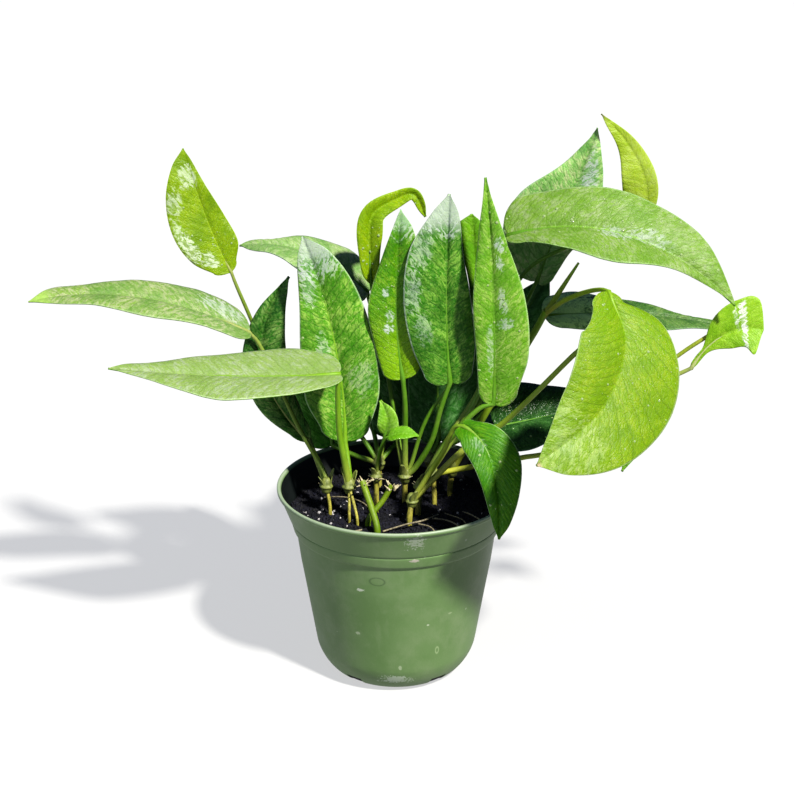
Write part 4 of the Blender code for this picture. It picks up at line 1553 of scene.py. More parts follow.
@dataclass(frozen=True)
class Cutting:
    """A bare piece of stem with a torn, fibrous top."""

    route: tuple
    radius: float

    STEPS = 30
    FIBRES = Fibres(16, 1.4)

    def build(self, node: str, trees: Trees) -> None:
        """Build the stem and its torn end.

        Args:
            node: The frame's node.
            trees: The node trees.
        """
        line = [(point, girth, 1 - rise) for point, girth, rise in tapered(
            self.route, self.STEPS, self.radius, self.radius,
        )]
        CUTTING_STEM.build(f"{node}_stem", node, [line], trees)
        TORN_END.build(f"{node}_torn_end", node, self.FIBRES.lines(node, Vector(self.route[0])), trees)


@dataclass(frozen=True)
class Lumps:
    """Small rough lumps that lie on the soil: how many a square metre, and sizes in mm."""

    kind: Scatter
    density: float
    smallest: float
    largest: float
    roughness: float
    fineness: int
    seed: int
    skin: EarthFinish

    def inputs(self) -> dict:
        """Values for the strewing tree's inputs.

        Returns:
            The values by input name.
        """
        return {
            "Density": self.density, "Smallest": self.smallest * MM, "Largest": self.largest * MM,
            "Roughness": self.roughness * MM, "Fineness": self.fineness, "Seed": self.seed,
            "Material": self.skin.material(f"{self.kind.value}_skin"),
        }


CRUMBS = Lumps(
    Scatter.CRUMB, density=500000.0, smallest=0.3, largest=1.2, roughness=1.1, fineness=1, seed=5,
    skin=EarthFinish("1B1B34", "030307", 0.85),
)
PERLITE = Lumps(
    Scatter.PERLITE, density=60000.0, smallest=0.35, largest=1.0, roughness=0.8, fineness=2, seed=11,
    skin=EarthFinish("F2F0EC", "B9B4B6", 0.8, 1500.0),
)


@dataclass(frozen=True)
class PottingSoil:
    """Soil that fills the pot: a crumbly top with perlite, twigs and thin roots."""

    top: float = 78.0
    edge: float = 47.9
    side: tuple = (
        (44.0, 69.3), (39.6, 40.0), (35.1, 13.2), (33.3, 6.4), (32.2, 4.5), (31.0, 3.0), (29.6, 1.9),
        (28.1, 1.0),
    )
    rings: int = 44
    sides: int = 128
    swell: float = 1.5
    crumb: float = 0.9
    twigs: tuple = (
        (((-33, -33, 80.2), (-26, -35, 80.8), (-15, -31, 81.4)), 0.55),
        (((-6, -30, 80), (4, -24, 80.6), (12, -21, 81.2), (19, -14, 81)), 0.4),
        (((10, -22, 80), (15, -26, 80.4), (17, -33, 80.2), (13, -38, 79.8)), 0.35),
        (((16, -17, 80.4), (24, -21, 80.8), (29, -28, 80.2)), 0.4),
        (((22, -12, 80.6), (30, -20, 80.8), (31, -30, 80), (26, -37, 79.6)), 0.3),
        (((-12, -8, 81), (-20, 2, 81.6), (-33, 6, 80.4)), 0.35),
        (((30, -10, 80.6), (36, -16, 80.4), (39, -22, 80)), 0.35),
    )

    SWELL_WAVES = 0.07
    CRUMB_WAVES = 0.45
    CRUMB_SHIFT = (7, 3, 1)
    RING_CROWDING = 0.85
    CELLS = 48
    BARE_EDGE = 1.2
    TWIG_STEPS = 20
    PERLITE_LEAST = 0.08
    PERLITE_LEFT = (-12, -30)
    PERLITE_FRONT = (4, -14)
    SKIN = EarthFinish("16162C", "040409", 0.9)

    def point(self, x: float, y: float) -> Vector:
        """Point of the soil's top over a place.

        Args:
            x: The place in mm.
            y: The same, front to back.

        Returns:
            The point in mm.
        """
        place = Vector((x, y, 0.0))
        slow = noise.noise(place * self.SWELL_WAVES)
        quick = noise.noise(place * self.CRUMB_WAVES + Vector(self.CRUMB_SHIFT))
        return Vector((x, y, self.top + self.swell * slow + self.crumb * quick))

    def body(self) -> None:
        """Build the soil's body."""
        turns = [2 * math.pi * side / self.sides for side in range(self.sides)]
        rings = []
        for ring in range(1, self.rings + 1):
            radius = self.edge * (ring / self.rings) ** self.RING_CROWDING
            rings.append([self.point(*round_axis(radius, turn, 0.0).xy) for turn in turns])
        for radius, height in self.side:
            rings.append([round_axis(radius, turn, height) for turn in turns])
        mesh = bmesh.new()
        closed_body(mesh, rings, self.point(0, 0), Vector((0, 0, self.side[-1][1])))
        item = mesh_object("soil_body", mesh)
        item.data.materials.append(self.SKIN.material("moist_soil"))
        settle(item, "potting_soil", "soil")

    def perlite_share(self, x: float, y: float) -> float:
        """Share of the perlite's density at a place in mm, highest at the front left."""
        drift = smooth_step(*self.PERLITE_LEFT, x) * smooth_step(*self.PERLITE_FRONT, y)
        return self.PERLITE_LEAST + drift

    def strewn(self, lumps: Lumps, trees: Trees, spread: Callable[[float, float], float]) -> None:
        """Strew lumps over the soil's top.

        Args:
            lumps: What is strewn.
            trees: The node trees.
            spread: Gives a density from 0 to 1 at x and y in mm.
        """
        steps = [(2 * step / self.CELLS - 1) * self.edge for step in range(self.CELLS + 1)]
        places = [self.point(x, y) for y in steps for x in steps]
        data = grid_mesh(lumps.kind.value, [metres(place) for place in places], self.CELLS, self.CELLS)
        reach = self.edge - self.BARE_EDGE
        density = [spread(place.x, place.y) if place.xy.length < reach else 0.0 for place in places]
        data.attributes.new("spread", "FLOAT", "POINT").data.foreach_set("value", density)
        item = trees.strew.apply(new_object(lumps.kind.value, data), lumps.inputs())
        settle(item, "potting_soil", "soil")

    def build(self, trees: Trees) -> None:
        """Build the soil and everything that lies on it.

        Args:
            trees: The node trees.
        """
        self.body()
        self.strewn(CRUMBS, trees, lambda x, y: 1.0)
        self.strewn(PERLITE, trees, self.perlite_share)
        twigs = [tapered(route, self.TWIG_STEPS, girth, girth) for route, girth in self.twigs]
        LOOSE_ROOTS.build("loose_roots", "soil", twigs, trees)


@dataclass(frozen=True)
class NurseryPot:
    """Thin flared pot with a rolled lip, a band over a bead, and drain slots."""

    sides: int = 144
    outline: tuple = (
        (0.6, 0.9), (20.0, 0.9), (22.5, 0.0), (25.5, 0.0), (27.8, 0.5), (29.9, 1.7), (31.6, 3.1),
        (33.2, 5.1), (34.7, 7.5), (35.9, 10.0), (36.8, 12.6), (37.3, 15.3), (38.7, 24.0),
        (41.3, 40.0), (43.8, 55.0), (45.7, 69.5), (46.9, 70.0), (48.2, 74.9), (47.9, 75.3), (48.7, 76.0),
        (53.1, 87.6), (54.2, 88.3), (54.2, 90.0), (52.8, 90.0), (51.9, 88.0), (47.4, 75.0), (45.6, 70.0),
        (44.4, 68.5), (42.3, 54.0), (40.1, 40.0), (37.6, 24.0), (35.6, 13.0), (31.8, 5.6), (28.7, 2.4),
        (25.0, 1.2), (0.6, 1.5),
    )
    corner: float = 0.38
    corner_length: float = 0.9
    slots: int = 5
    slot_size: Point = (8.0, 9.0, 10.6)
    slot_radius: float = 31.0
    slot_height: float = 0.2
    slot_first: float = 36.0

    CORNER_STEPS = (0.0, 0.33, 0.67, 1.0)
    SHARP = 50.0
    INWARD = 0.3
    INNER_TOP = 89.0
    FLOOR_TOP = 3.0

    def rounded(self) -> list:
        """Outline with each corner cut to a short curve.

        Returns:
            Pairs of radius and height in mm.
        """
        points = [Vector(point) for point in self.outline]
        rounded = [points[0]]
        for before, here, after in zip(points, points[1:], points[2:]):
            start, end = (
                here.lerp(other, min(self.corner, self.corner_length / max((here - other).length, 0.1)))
                for other in (before, after)
            )
            for share in self.CORNER_STEPS:
                rounded.append(start.lerp(here, share).lerp(here.lerp(end, share), share))
        return [tuple(point) for point in rounded + [points[-1]]]

    def cutter(self, number: int) -> Item:
        """Make the block that cuts a drain slot.

        Args:
            number: Number of the slot, from 0.

        Returns:
            The block.
        """
        mesh = bmesh.new()
        turn = Matrix.Rotation(math.radians(self.slot_first + 360 * number / self.slots), 4, "Z")
        place = Matrix.Translation(metres((0.0, -self.slot_radius, self.slot_height)))
        size = Matrix.Diagonal((*(value * MM for value in self.slot_size), 1.0))
        bmesh.ops.create_cube(mesh, size=1.0, matrix=turn @ place @ size)
        return mesh_object(f"slot_cutter_{number + 1}", mesh, False)

    def dress(self, data: bpy.types.Mesh) -> None:
        """Give the pot its worn skin with painted highlights, and its inside wall and floor a near-black
        skin of soil stains and painted shade.

        Args:
            data: The pot's mesh.
        """
        data.shade_smooth()
        data.set_sharp_from_angle(angle=math.radians(self.SHARP))
        data.materials.clear()
        data.materials.append(WEAR_AND_HIGHLIGHT_PLASTIC.material("pot_plastic_wear_and_highlight"))
        data.materials.append(SOIL_AND_SHADE_PLASTIC.material("pot_plastic_soil_and_shade"))
        # painted shade: inward faces below the lip and the floor plate take the near-black skin
        for face in data.polygons:
            inward = face.normal.xy.dot(face.center.xy.normalized()) < -self.INWARD
            on_floor = face.normal.z > self.INWARD and face.center.z < self.FLOOR_TOP * MM
            face.material_index = int((inward and face.center.z < self.INNER_TOP * MM) or on_floor)

    def build(self) -> None:
        """Build the pot, cut its drain slots and dress it."""
        mesh = bmesh.new()
        turned_body(mesh, self.rounded(), self.sides)
        item = mesh_object("nursery_pot", mesh)
        cutters = [self.cutter(number) for number in range(self.slots)]
        for cutter in cutters:
            cut = item.modifiers.new(cutter.name, "BOOLEAN")
            cut.operation = "DIFFERENCE"
            cut.object = cutter
        keep_result(item)
        for cutter in cutters:
            bpy.data.objects.remove(cutter)
        self.dress(item.data)
        settle(item, "pot_plastic", "pot")


@dataclass(frozen=True)
class Studio:
    """Pale floor, soft light and the camera."""

    target: Point = (0.4, 0.0, 132.1)
    elevation: float = 20.94
    distance: float = 800.0
    lens: float = 81.25
    sensor: float = 36.0
    floor_size: float = 12.0
    sun_from: Point = (0.4, -0.51, 0.765)
    sun_strength: float = 11.0
    sun_angle: float = 4.0
    sun_colour: Colour = (1.0, 0.97, 0.9)
    sky_strength: float = 0.3
    sky_colour: Colour = (0.3, 0.45, 1.0)
    fill_from: Point = (-0.7, -0.66, 0.28)
    fill_strength: float = 1.4
    fill_angle: float = 70.0
    fill_colour: Colour = (0.86, 0.95, 1.0)

    FLOOR_GREYS = (0.12, 0.13)
    FLOOR_GLOW = 0.5
    CLIP = (0.01, 50.0)

    def floor(self) -> None:
        """Lay the floor."""
        mesh = bmesh.new()
        bmesh.ops.create_grid(mesh, x_segments=1, y_segments=1, size=self.floor_size / 2)
        item = mesh_object("floor", mesh, False)
        surface = Surface.start("pale_floor")
        cloud = surface.nodes.noise(surface.place, 3.0, 2.0)
        greys = [(grey, grey, grey) for grey in self.FLOOR_GREYS]
        colour = surface.nodes.mix(surface.nodes.ramp(cloud, 0.3, 0.7), *greys)
        surface.set(Base_Color=colour, Roughness=0.9, Specular_IOR_Level=0.1)
        surface.set(Emission_Color=WHITE, Emission_Strength=self.FLOOR_GLOW)
        item.data.materials.append(surface.made)

    def lamp(self, name: str, come_from: Point, strength: float, angle: float, colour: Colour) -> None:
        """Hang a sun lamp.

        Args:
            name: The lamp's name.
            come_from: Direction that its light comes from.
            strength: Its strength.
            angle: How wide it looks, in degrees.
            colour: Its colour.
        """
        light = bpy.data.lights.new(name, "SUN")
        light.energy = strength
        light.angle = math.radians(angle)
        light.color = colour
        item = new_object(name, light)
        item.rotation_mode = "QUATERNION"
        item.rotation_quaternion = Vector(come_from).to_track_quat("Z", "Y")

    def sky(self) -> None:
        """Put a dim blue sky round the set, which the camera sees as plain white."""
        world = bpy.data.worlds.new("studio_sky")
        world.use_nodes = True
        nodes = NodeMaker(world.node_tree)
        sky = world.node_tree.nodes["Background"]
        nodes.plug(sky.inputs["Color"], (*self.sky_colour, 1.0))
        nodes.plug(sky.inputs["Strength"], self.sky_strength)
        wall = nodes.add("ShaderNodeBackground", {"Color": WHITE})
        seen = nodes.add("ShaderNodeLightPath").outputs["Is Camera Ray"]
        both = nodes.add("ShaderNodeMixShader", {0: seen, 1: sky.outputs[0], 2: wall.outputs[0]})
        nodes.plug(world.node_tree.nodes["World Output"].inputs["Surface"], both.outputs[0])
        bpy.context.scene.world = world

    def camera(self) -> None:
        """Place the camera at the photograph's angle."""
        data = bpy.data.cameras.new("camera")
        data.lens = self.lens
        data.sensor_width = self.sensor
        data.clip_start, data.clip_end = self.CLIP
        item = new_object("camera", data)
        rise = math.radians(self.elevation)
        back = Vector((0.0, -math.cos(rise), math.sin(rise)))
        item.rotation_mode = "QUATERNION"
        item.location = (Vector(self.target) + back * self.distance) * MM
        item.rotation_quaternion = back.to_track_quat("Z", "Y")
        bpy.context.scene.camera = item

    def build(self) -> None:
        """Build the floor, the lights, the sky and the camera."""
        self.floor()
        self.lamp("key", self.sun_from, self.sun_strength, self.sun_angle, self.sun_colour)
        self.lamp("fill", self.fill_from, self.fill_strength, self.fill_angle, self.fill_colour)
        self.sky()
        self.camera()
        bpy.context.scene.view_settings.view_transform = "Standard"
        bpy.context.scene.view_settings.look = "Medium High Contrast"


BACK_FINISH = LeafFinish("3C8828", "84B474", "2A6C1C", "3F7F2A", "94C07C", "5CA03C", mottle=0.6, veins=0.5)

LEAVES = {
    "shoot_left": {
        "lime_upright": Leaf(
            rib=((-74, 24, 183), (-84, 26, 206), (-94, 30, 238)), right=(2, 4.5, 9, 8, 4.5, 2),
            left=(2.5, 7.5, 14, 17, 14, 7), facing=(0.1, -0.85, 0.5), lobes=(0, 0), fold=6, quilt=0.18,
            drops=44200, camber=0.5, groove=0.1,
            petiole=((-72, 24, 177), (-68, 25, 166), (-62, 27, 150), (-48, 26, 124), (-37, 10, 99)),
            girth=(0.8, 1.4),
            finish=LeafFinish(
                "89AB00", "A3B806", "709500", "9CC43A", "BCD840", "C2E03C", mottle=0.25, veins=0.25,
                speckle=0.5, rib_show=0.3, rim_share=0.98, sheen_colour="C8D8B4",
                sheen_patches=(
                    SheenPatch(0.34, -0.8, 0.19, 0.26, 1), SheenPatch(0.2, -0.5, 0.1, 0.28, 0.95),
                    SheenPatch(0.84, -0.1, 0.09, 0.6, 0.75), SheenPatch(0.7, -0.8, 0.1, 0.3, 0.7),
                    SheenPatch(0.5, -0.85, 0.12, 0.18, 0.6),
                ),
            ),
        ),
        "long_outer": Leaf(
            rib=((-66, 14, 158), (-113, 6, 177), (-161, 0, 177)), right=(5, 13, 16.5, 12, 8.5, 5.5),
            left=(6.5, 10.5, 13.5, 15.5, 10, 4.5), facing=FACING_UP, lobes=(1, 2), fold=4, girth=(0.9, 1.5),
            groove=0.12, petiole=((-60, 14, 149), (-45, 8, 116), (-33, -1, 97)),
            finish=LeafFinish(
                "85A943", "B7BF93", "6B973E", "5F8A14", "B8D29C", "A6D070", mottle=0.8, veins=0.35,
                speckle=0.3, low="76A049", tip="A9CC66", tip_from=0.85,
                sheen_patches=(SheenPatch(0.12, 0.5, 0.14, 0.4, 0.5),),
            ),
        ),
        "dark_upright": Leaf(
            rib=((-40, 14, 105), (-61, 17, 143), (-48, 20, 182)), right=(2.5, 6, 9, 12, 10, 4.5),
            left=(2, 4, 8.5, 8.5, 5.5, 1.5), facing=(-0.1, -0.9, 0.3), lobes=(0, 0), girth=(1.1, 1.4),
            petiole=((-36, 6, 100), (-32, -3, 93)),
            finish=LeafFinish(
                "3C891C", "97BB64", "236114", "2C6A20", "88B070", "5C9440", mottle=0.75, veins=0.65,
            ),
        ),
    },
    "shoot_front_left": {
        "long_front": Leaf(
            rib=((-25, -16, 149), (-74, -18, 149), (-124, -22, 154)), right=(9.5, 15.5, 19.5, 15.5, 9, 4),
            left=(6.5, 11, 17, 20, 11, 3), facing=FACING_UP, lobes=(2, 3), fold=4, girth=(1.2, 2),
            ripple=0.4, quilt=0.2, groove=0.2,
            petiole=((-25.5, -14, 136), (-25, -12, 119), (-23, -11, 106)),
            finish=LeafFinish(
                "94AF5D", "B0BDA4", "85A54E", "6C9C2C", "C4DEA4", "BFE48C", mottle=0.55, speckle=0.25,
            ),
        ),
        "large_upright": Leaf(
            rib=((-23, -2, 112), (-27, 4, 155), (-41, 8, 204)), right=(4, 11, 16.5, 17.5, 15, 8.5),
            left=(4.5, 11, 17, 16, 10.5, 5.5), lobes=(1, 1), girth=(1.2, 1.8), drops=11700,
            petiole=((-22, -4, 105), (-21, -8, 97)),
            finish=LeafFinish(
                "5CA811", "B3D566", "438A0B", "4C8C20", "C0DAB0", "3F8A1A", mottle=0.65, veins=0.6,
                # painted sheen: whitish tip
                speckle=0.35, tip="BCCEB4", tip_from=0.88,
                sheen_patches=(
                    SheenPatch(0.93, 0, 0.14, 1.5, 0.6), SheenPatch(0.8, -0.55, 0.12, 0.4, 0.45),
                    SheenPatch(0.5, -0.35, 0.09, 0.22, 0.4), SheenPatch(0.33, 0.55, 0.1, 0.4, 0.2),
                ),
            ),
        ),
    },
    "shoot_centre": {
        "spotted_upright": Leaf(
            rib=((3, 0, 141), (0, 4, 174), (2, 8, 216)), right=(3.5, 8.5, 11.5, 12.5, 10.5, 6),
            left=(3.5, 8.5, 10.5, 12.5, 7, 2.5), lobes=(1, 1), girth=(1.2, 1.7), drops=39000,
            petiole=((4, 1, 128), (4, 3, 112)),
            finish=LeafFinish(
                "569B05", "94BC30", "428703", "1A4A2C", "B4D490", "7CB82C", veins=0.5, speckle=0.6,
                # painted sheen: whitish tip
                low="86B600", tip="9CC48C", tip_from=0.88,
                sheen_patches=(
                    SheenPatch(0.97, 0, 0.12, 1.8, 0.6), SheenPatch(0.58, -0.4, 0.03, 0.18, 0.65),
                    SheenPatch(0.44, -0.25, 0.045, 0.2, 0.65), SheenPatch(0.36, -0.3, 0.032, 0.22, 0.9),
                    SheenPatch(0.5, 0.45, 0.04, 0.25, 0.4),
                ),
            ),
        ),
        "broad_upright": Leaf(
            rib=((24, -2, 140), (22, 2, 177), (23, 8, 223)), right=(6, 10.5, 12.5, 11, 7, 4.5),
            left=(6, 11.5, 16, 19, 16.5, 7), girth=(1.2, 1.7), drops=18200,
            petiole=((20, -1, 127), (16, 0, 111), (9, 3, 97)),
            finish=LeafFinish(
                "418E13", "97C553", "2D6C0B", "3C7A28", "D0E0CC", "4C8A2C", mottle=0.7, veins=0.55,
                # painted sheen: whitish tip
                speckle=0.3, tip="B6C8B0", tip_from=0.8,
                sheen_patches=(
                    SheenPatch(0.98, 0, 0.18, 1.8, 0.8), SheenPatch(0.75, -0.7, 0.12, 0.35, 0.35),
                    SheenPatch(0.55, -0.8, 0.13, 0.25, 0.35), SheenPatch(0.35, -0.6, 0.1, 0.25, 0.25),
                ),
            ),
        ),
        "sliver_upright": Leaf(
            rib=((38, 8, 158), (35, 10, 188), (33, 12, 213)), right=(2, 4.5, 5, 5.5, 5, 4),
            left=(1.5, 2.5, 3, 4, 6.5, 6.5), lobes=(1, 1), girth=(0.9, 1.2), ripple=0.2, camber=0.6,
            groove=0.15, petiole=((37, 8, 150), (23, 5, 134), (13, 5, 118), (7, 5, 98)),
            finish=LeafFinish(
                "79B610", "9EC74F", "5EA008", "6CA81C", "B8DC80", "A8D850", mottle=0.35, veins=0.4,
                speckle=0.5,
            ),
        ),
        "rolled_young": Leaf(
            rib=((-11, 16, 180), (-12, 18, 200), (-10, 20, 211), (0, 22, 217), (8, 22, 219), (13, 22, 209)),
            right=(2, 4.5, 6.5, 5, 3, 2), left=(2, 4.5, 6, 4.5, 3, 2), lobes=(0, 0), fold=24,
            girth=(0.9, 1.2), ripple=0.2, camber=0.5, quilt=0.1, drops=65000, groove=0.12,
            petiole=((-10, 16, 172), (-7, 15, 156), (-2, 10, 127), (1, 6, 106)),
            finish=LeafFinish(
                "94B800", "AEC10E", "7AA200", "8CB800", "B4D63C", "B4DC28", mottle=0.35, speckle=0.6,
            ),
        ),
        "rear_horizontal": Leaf(
            rib=((-13, 30, 172), (-41, 33, 190), (-71, 36, 192)), right=(7.5, 12.5, 16.5, 11.5, 5, 3),
            left=(9.5, 15.5, 18.5, 16.5, 10, 5), facing=FACING_UP, fold=4, girth=(1, 1.4), groove=0.12,
            petiole=((-12, 29, 167), (-6, 26, 145), (0, 14, 115), (2, 7, 101)),
            finish=LeafFinish("93B765", "C8D1AA", "72A14E", "2C5A24", "B4D2A4", "8CC070", veins=0.35),
        ),
    },
    "shoot_right": {
        "tall_front": Leaf(
            rib=((43, -11, 133), (42, -9, 180), (38, -3, 233)), right=(6.5, 10.5, 15, 14, 7, 2),
            left=(4, 7, 8, 9, 5.5, 2), lobes=(2, 1), girth=(1.2, 1.7), drops=52000,
            petiole=((37, -11, 131), (29, -11, 123), (20, -9, 110)),
            finish=LeafFinish(
                "76B41E", "B0CE6C", "5E9F14", "5C9C20", "BCDCA0", "A4D468", mottle=0.65, veins=0.45,
                speckle=0.5,
                sheen_patches=(
                    SheenPatch(0.74, 0.5, 0.04, 0.3, 0.7), SheenPatch(0.66, 0.35, 0.04, 0.2, 0.6),
                    SheenPatch(0.5, 0.3, 0.06, 0.16, 0.5), SheenPatch(0.4, 0.35, 0.03, 0.3, 0.5),
                    SheenPatch(0.28, -0.2, 0.14, 0.25, 0.35),
                ),
            ),
        ),
        "long_arching": Leaf(
            rib=((48, -4, 208), (98, -14, 211), (144, -24, 183)), right=(5, 8, 16, 20.5, 8, 2),
            left=(11, 18, 19.5, 20, 15.5, 5.5), facing=(0.1, -0.55, 0.85), fold=12, girth=(1, 1.5),
            drops=52000, petiole=((45, -2, 200), (44, 2, 177), (39, 0, 140), (25, -4, 113)),
            finish=LeafFinish(
                "83AA3B", "A3B485", "6D9927", "4C8020", "B4D890", "9CD64C", mottle=0.6, veins=0.35,
                speckle=0.35,
                sheen_patches=(SheenPatch(0.45, 0.1, 0.08, 0.22, 0.45), SheenPatch(0.6, -0.1, 0.1, 0.25, 0.4)),
            ),
        ),
        "rear_upright": Leaf(
            rib=((63, 20, 180), (75, 24, 212), (88, 26, 248)), right=(4, 6.5, 9, 15.5, 10.5, 4),
            left=(8, 13.5, 23, 21.5, 8.5, 2), fold=6, girth=(1, 1.4),
            petiole=((60, 19, 174), (52, 17, 156), (41, 10, 132), (25, 1, 110)),
            finish=LeafFinish(
                "8FCB67", "E9EEB5", "68A64C", "2C6A2C", "A4CC98", "6CAC58", veins=0.5, speckle=0.3,
                sheen_patches=(SheenPatch(0.75, 0.45, 0.16, 0.35, 0.7),),
            ),
        ),
        "small_lime": Leaf(
            rib=((109, 18, 211), (107, 20, 232), (89, 22, 255)), right=(2, 4, 5, 5, 3.5, 1.2),
            left=(3.5, 8, 10.5, 9.5, 4.5, 2), lobes=(1, 1), quilt=0.1, ripple=0.4, camber=0.25, fold=3,
            groove=0.08,
            petiole=(
                (105, 17, 208), (90, 13, 203), (72, 11, 197), (57, 11, 187), (47, 9, 168), (38, 5, 136),
                (24, -2, 114),
            ),
            girth=(0.8, 1.4),
            finish=LeafFinish(
                "ABC33E", "BACC79", "97B41A", "A0C41C", "C0DC50", "C0E050", mottle=0.3, veins=0.1,
                speckle=0.1, tip="5E6420", tip_from=0.93, rib_show=0.1,
                sheen_patches=(SheenPatch(0.1, 0.3, 0.06, 0.5, 0.9),),
            ),
        ),
    },
    "vine_right": {
        "broad_hanging": Leaf(
            rib=((88, -40, 194), (94, -54, 176), (83, -72, 154), (56, -92, 138)),
            right=(4.5, 11, 20, 22, 17, 6), left=(2.5, 5, 20, 29, 22, 11), facing=(0.45, -0.75, 0.45),
            lobes=(1, 0), girth=(1, 1.4), drops=48000, fold=3, groove=0.12,
            petiole=((85, -34, 193), (80, -22, 188), (73, -8, 180), (66, 2, 171)),
            finish=LeafFinish(
                "7FA503", "97AD26", "6C9400", "7CAC20", "C8E2A8", "90C414", veins=0.35, speckle=0.45,
                low="75A001", tip="C8A890", tip_from=0.97, sheen_colour="C4DCA0", rim_share=0.985, rib_show=0.1,
                sheen_patches=(SheenPatch(0.92, 0, 0.2, 1.4, 0.25),),
            ),
        ),
        "rear_long": Leaf(
            rib=((66, 10, 167), (106, 16, 166), (150, 22, 158)), right=(5, 12.5, 14, 15, 9.5, 6),
            left=(6, 14, 16, 10, 4, 3), facing=FACING_UP, lobes=(1, 1), fold=4, girth=(1, 1.2),
            petiole=((63, 8, 163), (60, 6, 158)),
            finish=LeafFinish(
                "5E893D", "849F5C", "3F6D2C", "2F6228", "A4CC98", "7CB868", mottle=0.6, veins=0.45,
                # painted light: a strong pale patch lifts the blade's base, which lies in shade
                sheen_colour="D8FF98", sheen_patches=(SheenPatch(0.1, 0, 0.3, 2.2, 2.6),),
            ),
        ),
    },
    "shoot_front_right": {
        "hidden_hanging": Leaf(
            rib=((90, -24, 170), (104, -34, 148), (97, -40, 113)), right=(6, 10, 13, 12, 7, 2.5),
            left=(6, 10, 13, 12, 8, 2.5), facing=(0.1, -0.85, 0.5), girth=(1.1, 1.7),
            petiole=((87, -24, 168), (78, -23, 162), (60, -20, 141), (45, -18, 125), (30, -17, 114)),
            finish=LeafFinish("7CB824", "A4D468", "64A014", "5C9014", "B4D88C", "8CC040", speckle=0.3),
        ),
        "over_rim": Leaf(
            rib=((29, -30, 130), (41, -42, 118), (44, -55, 88)), right=(4, 6.5, 9, 8.5, 6, 3),
            left=(2.5, 4.5, 9, 12.5, 9, 4.5), facing=(0.1, -0.8, 0.5), lobes=(3, 2), spacing=2.6, lean=1.6,
            quilt=0.15, drops=44000, petiole=((25, -27, 128), (21, -23, 116), (14, -19, 102)),
            finish=LeafFinish(
                "4C9206", "78AC14", "387C04", "3C7A14", "BCDAA4", "3C8410", mottle=0.6, veins=0.45,
                tip="A08A5C", tip_from=0.975, sheen_patches=(SheenPatch(0.3, 0.2, 0.1, 0.35, 0.3),),
            ),
        ),
    },
    "runner_right": {
        "folded_young": Leaf(
            rib=((128, -17, 152), (141, -17, 167), (158, -18, 170)), right=(1.2, 1.4, 2, 6.5, 8, 11),
            left=(1.2, 1.4, 1.8, 9, 13, 12.5), facing=(0.1, -0.9, 0.35), lobes=(0, 0), fold=10,
            girth=(1, 1.6), ripple=0.2, camber=0.4, quilt=0.15,
            petiole=((123, -16, 149), (98, -12, 135), (73, -6, 110), (56, -1, 103), (34, 5, 96)),
            finish=LeafFinish(
                "98C828", "B4D850", "7AB010", "8CC020", "A8D04C", "94C830", mottle=0.3, veins=0.15,
                speckle=0.3, sheen_colour="F2F5EE",
                sheen_patches=(SheenPatch(0.77, 0, 0.05, 1.3, 0.85), SheenPatch(0.7, -0.3, 0.03, 0.6, 0.6)),
            ),
        ),
    },
    "shoot_small": {
        "curled_upper": Leaf(
            rib=((-5, -10, 118), (-4, -11, 126), (-7, -9, 134)), right=(1, 3, 5, 5, 3.5, 1),
            left=(1, 3, 4.5, 4.5, 3, 1), lobes=(0, 0), fold=20, girth=(0.8, 1), ripple=0.2, camber=0.5,
            quilt=0.1, spacing=2.0, petiole=((-6, -9, 113), (-8, -6, 104)),
            finish=LeafFinish(
                "8CC42A", "B8DA78", "6CA818", "98C844", "C0DC90", "9CD040", mottle=0.4, veins=0.15,
            ),
        ),
        "curled_side": Leaf(
            rib=((-4, -13, 118), (2, -16, 121), (10, -18, 121)), right=(1, 2.5, 4, 4, 3, 1),
            left=(1, 2.5, 3.5, 4, 3, 1), facing=(0, -0.5, 0.9), lobes=(0, 0), fold=12, girth=(0.7, 1),
            ripple=0.2, camber=0.5, quilt=0.1, spacing=2.0, petiole=((-7, -10, 111),),
            finish=LeafFinish(
                "7CBC1C", "A8D45C", "68A810", "8CC030", "B4D878", "90C830", mottle=0.4, veins=0.15,
            ),
        ),
    },
    "shoot_back_left": {
        "behind_large": Leaf(
            rib=((-30, 34, 95), (-33, 43, 128), (-31, 50, 163)), right=(8, 13, 15, 14, 9, 4),
            girth=(1.2, 1.5), petiole=((-20, 29, 92),),
            # its own brighter green, raised further as painted light to lift it out of the shade it lies in
            finish=LeafFinish(
                "5CB02C", "9CD46C", "46981A", "4C9A2A", "94C07C", "5CA03C", mottle=0.6, veins=0.5,
            ),
        ),
        "back_middle": Leaf(
            rib=((3, 35, 98), (3, 40, 124), (2, 43, 152)), right=(6, 14, 16, 15, 10, 4), lobes=(1, 1),
            girth=(1.2, 1.5), petiole=((-3, 30, 94),), finish=BACK_FINISH,
        ),
        "over_back_rim": Leaf(
            rib=((-15, 46, 104), (-20, 72, 100), (-25, 92, 62)), right=(6.5, 11, 14, 13, 8, 2.5),
            facing=(0, 0.6, 0.8), petiole=((-11, 36, 102), (-9, 28, 96)), finish=BACK_FINISH,
        ),
        "straight_back": Leaf(
            rib=((4, 46, 112), (6, 86, 124), (4, 126, 125)), right=(7, 12, 17, 16, 10, 3.5),
            facing=(0, -0.2, 1), petiole=((-2, 36, 108), (-6, 28, 98)), finish=BACK_FINISH,
        ),
        "back_left": Leaf(
            rib=((-24, 40, 106), (-46, 72, 113), (-62, 106, 104)), right=(7, 11.5, 16, 15, 9, 3),
            facing=(0, 0, 1), petiole=((-17, 32, 101), (-11, 26, 94)), finish=BACK_FINISH,
        ),
    },
    "shoot_back_right": {
        "behind_broad": Leaf(
            rib=((20, 30, 99), (19, 42, 148), (19, 48, 198)), right=(9.5, 16, 19, 18, 11, 5),
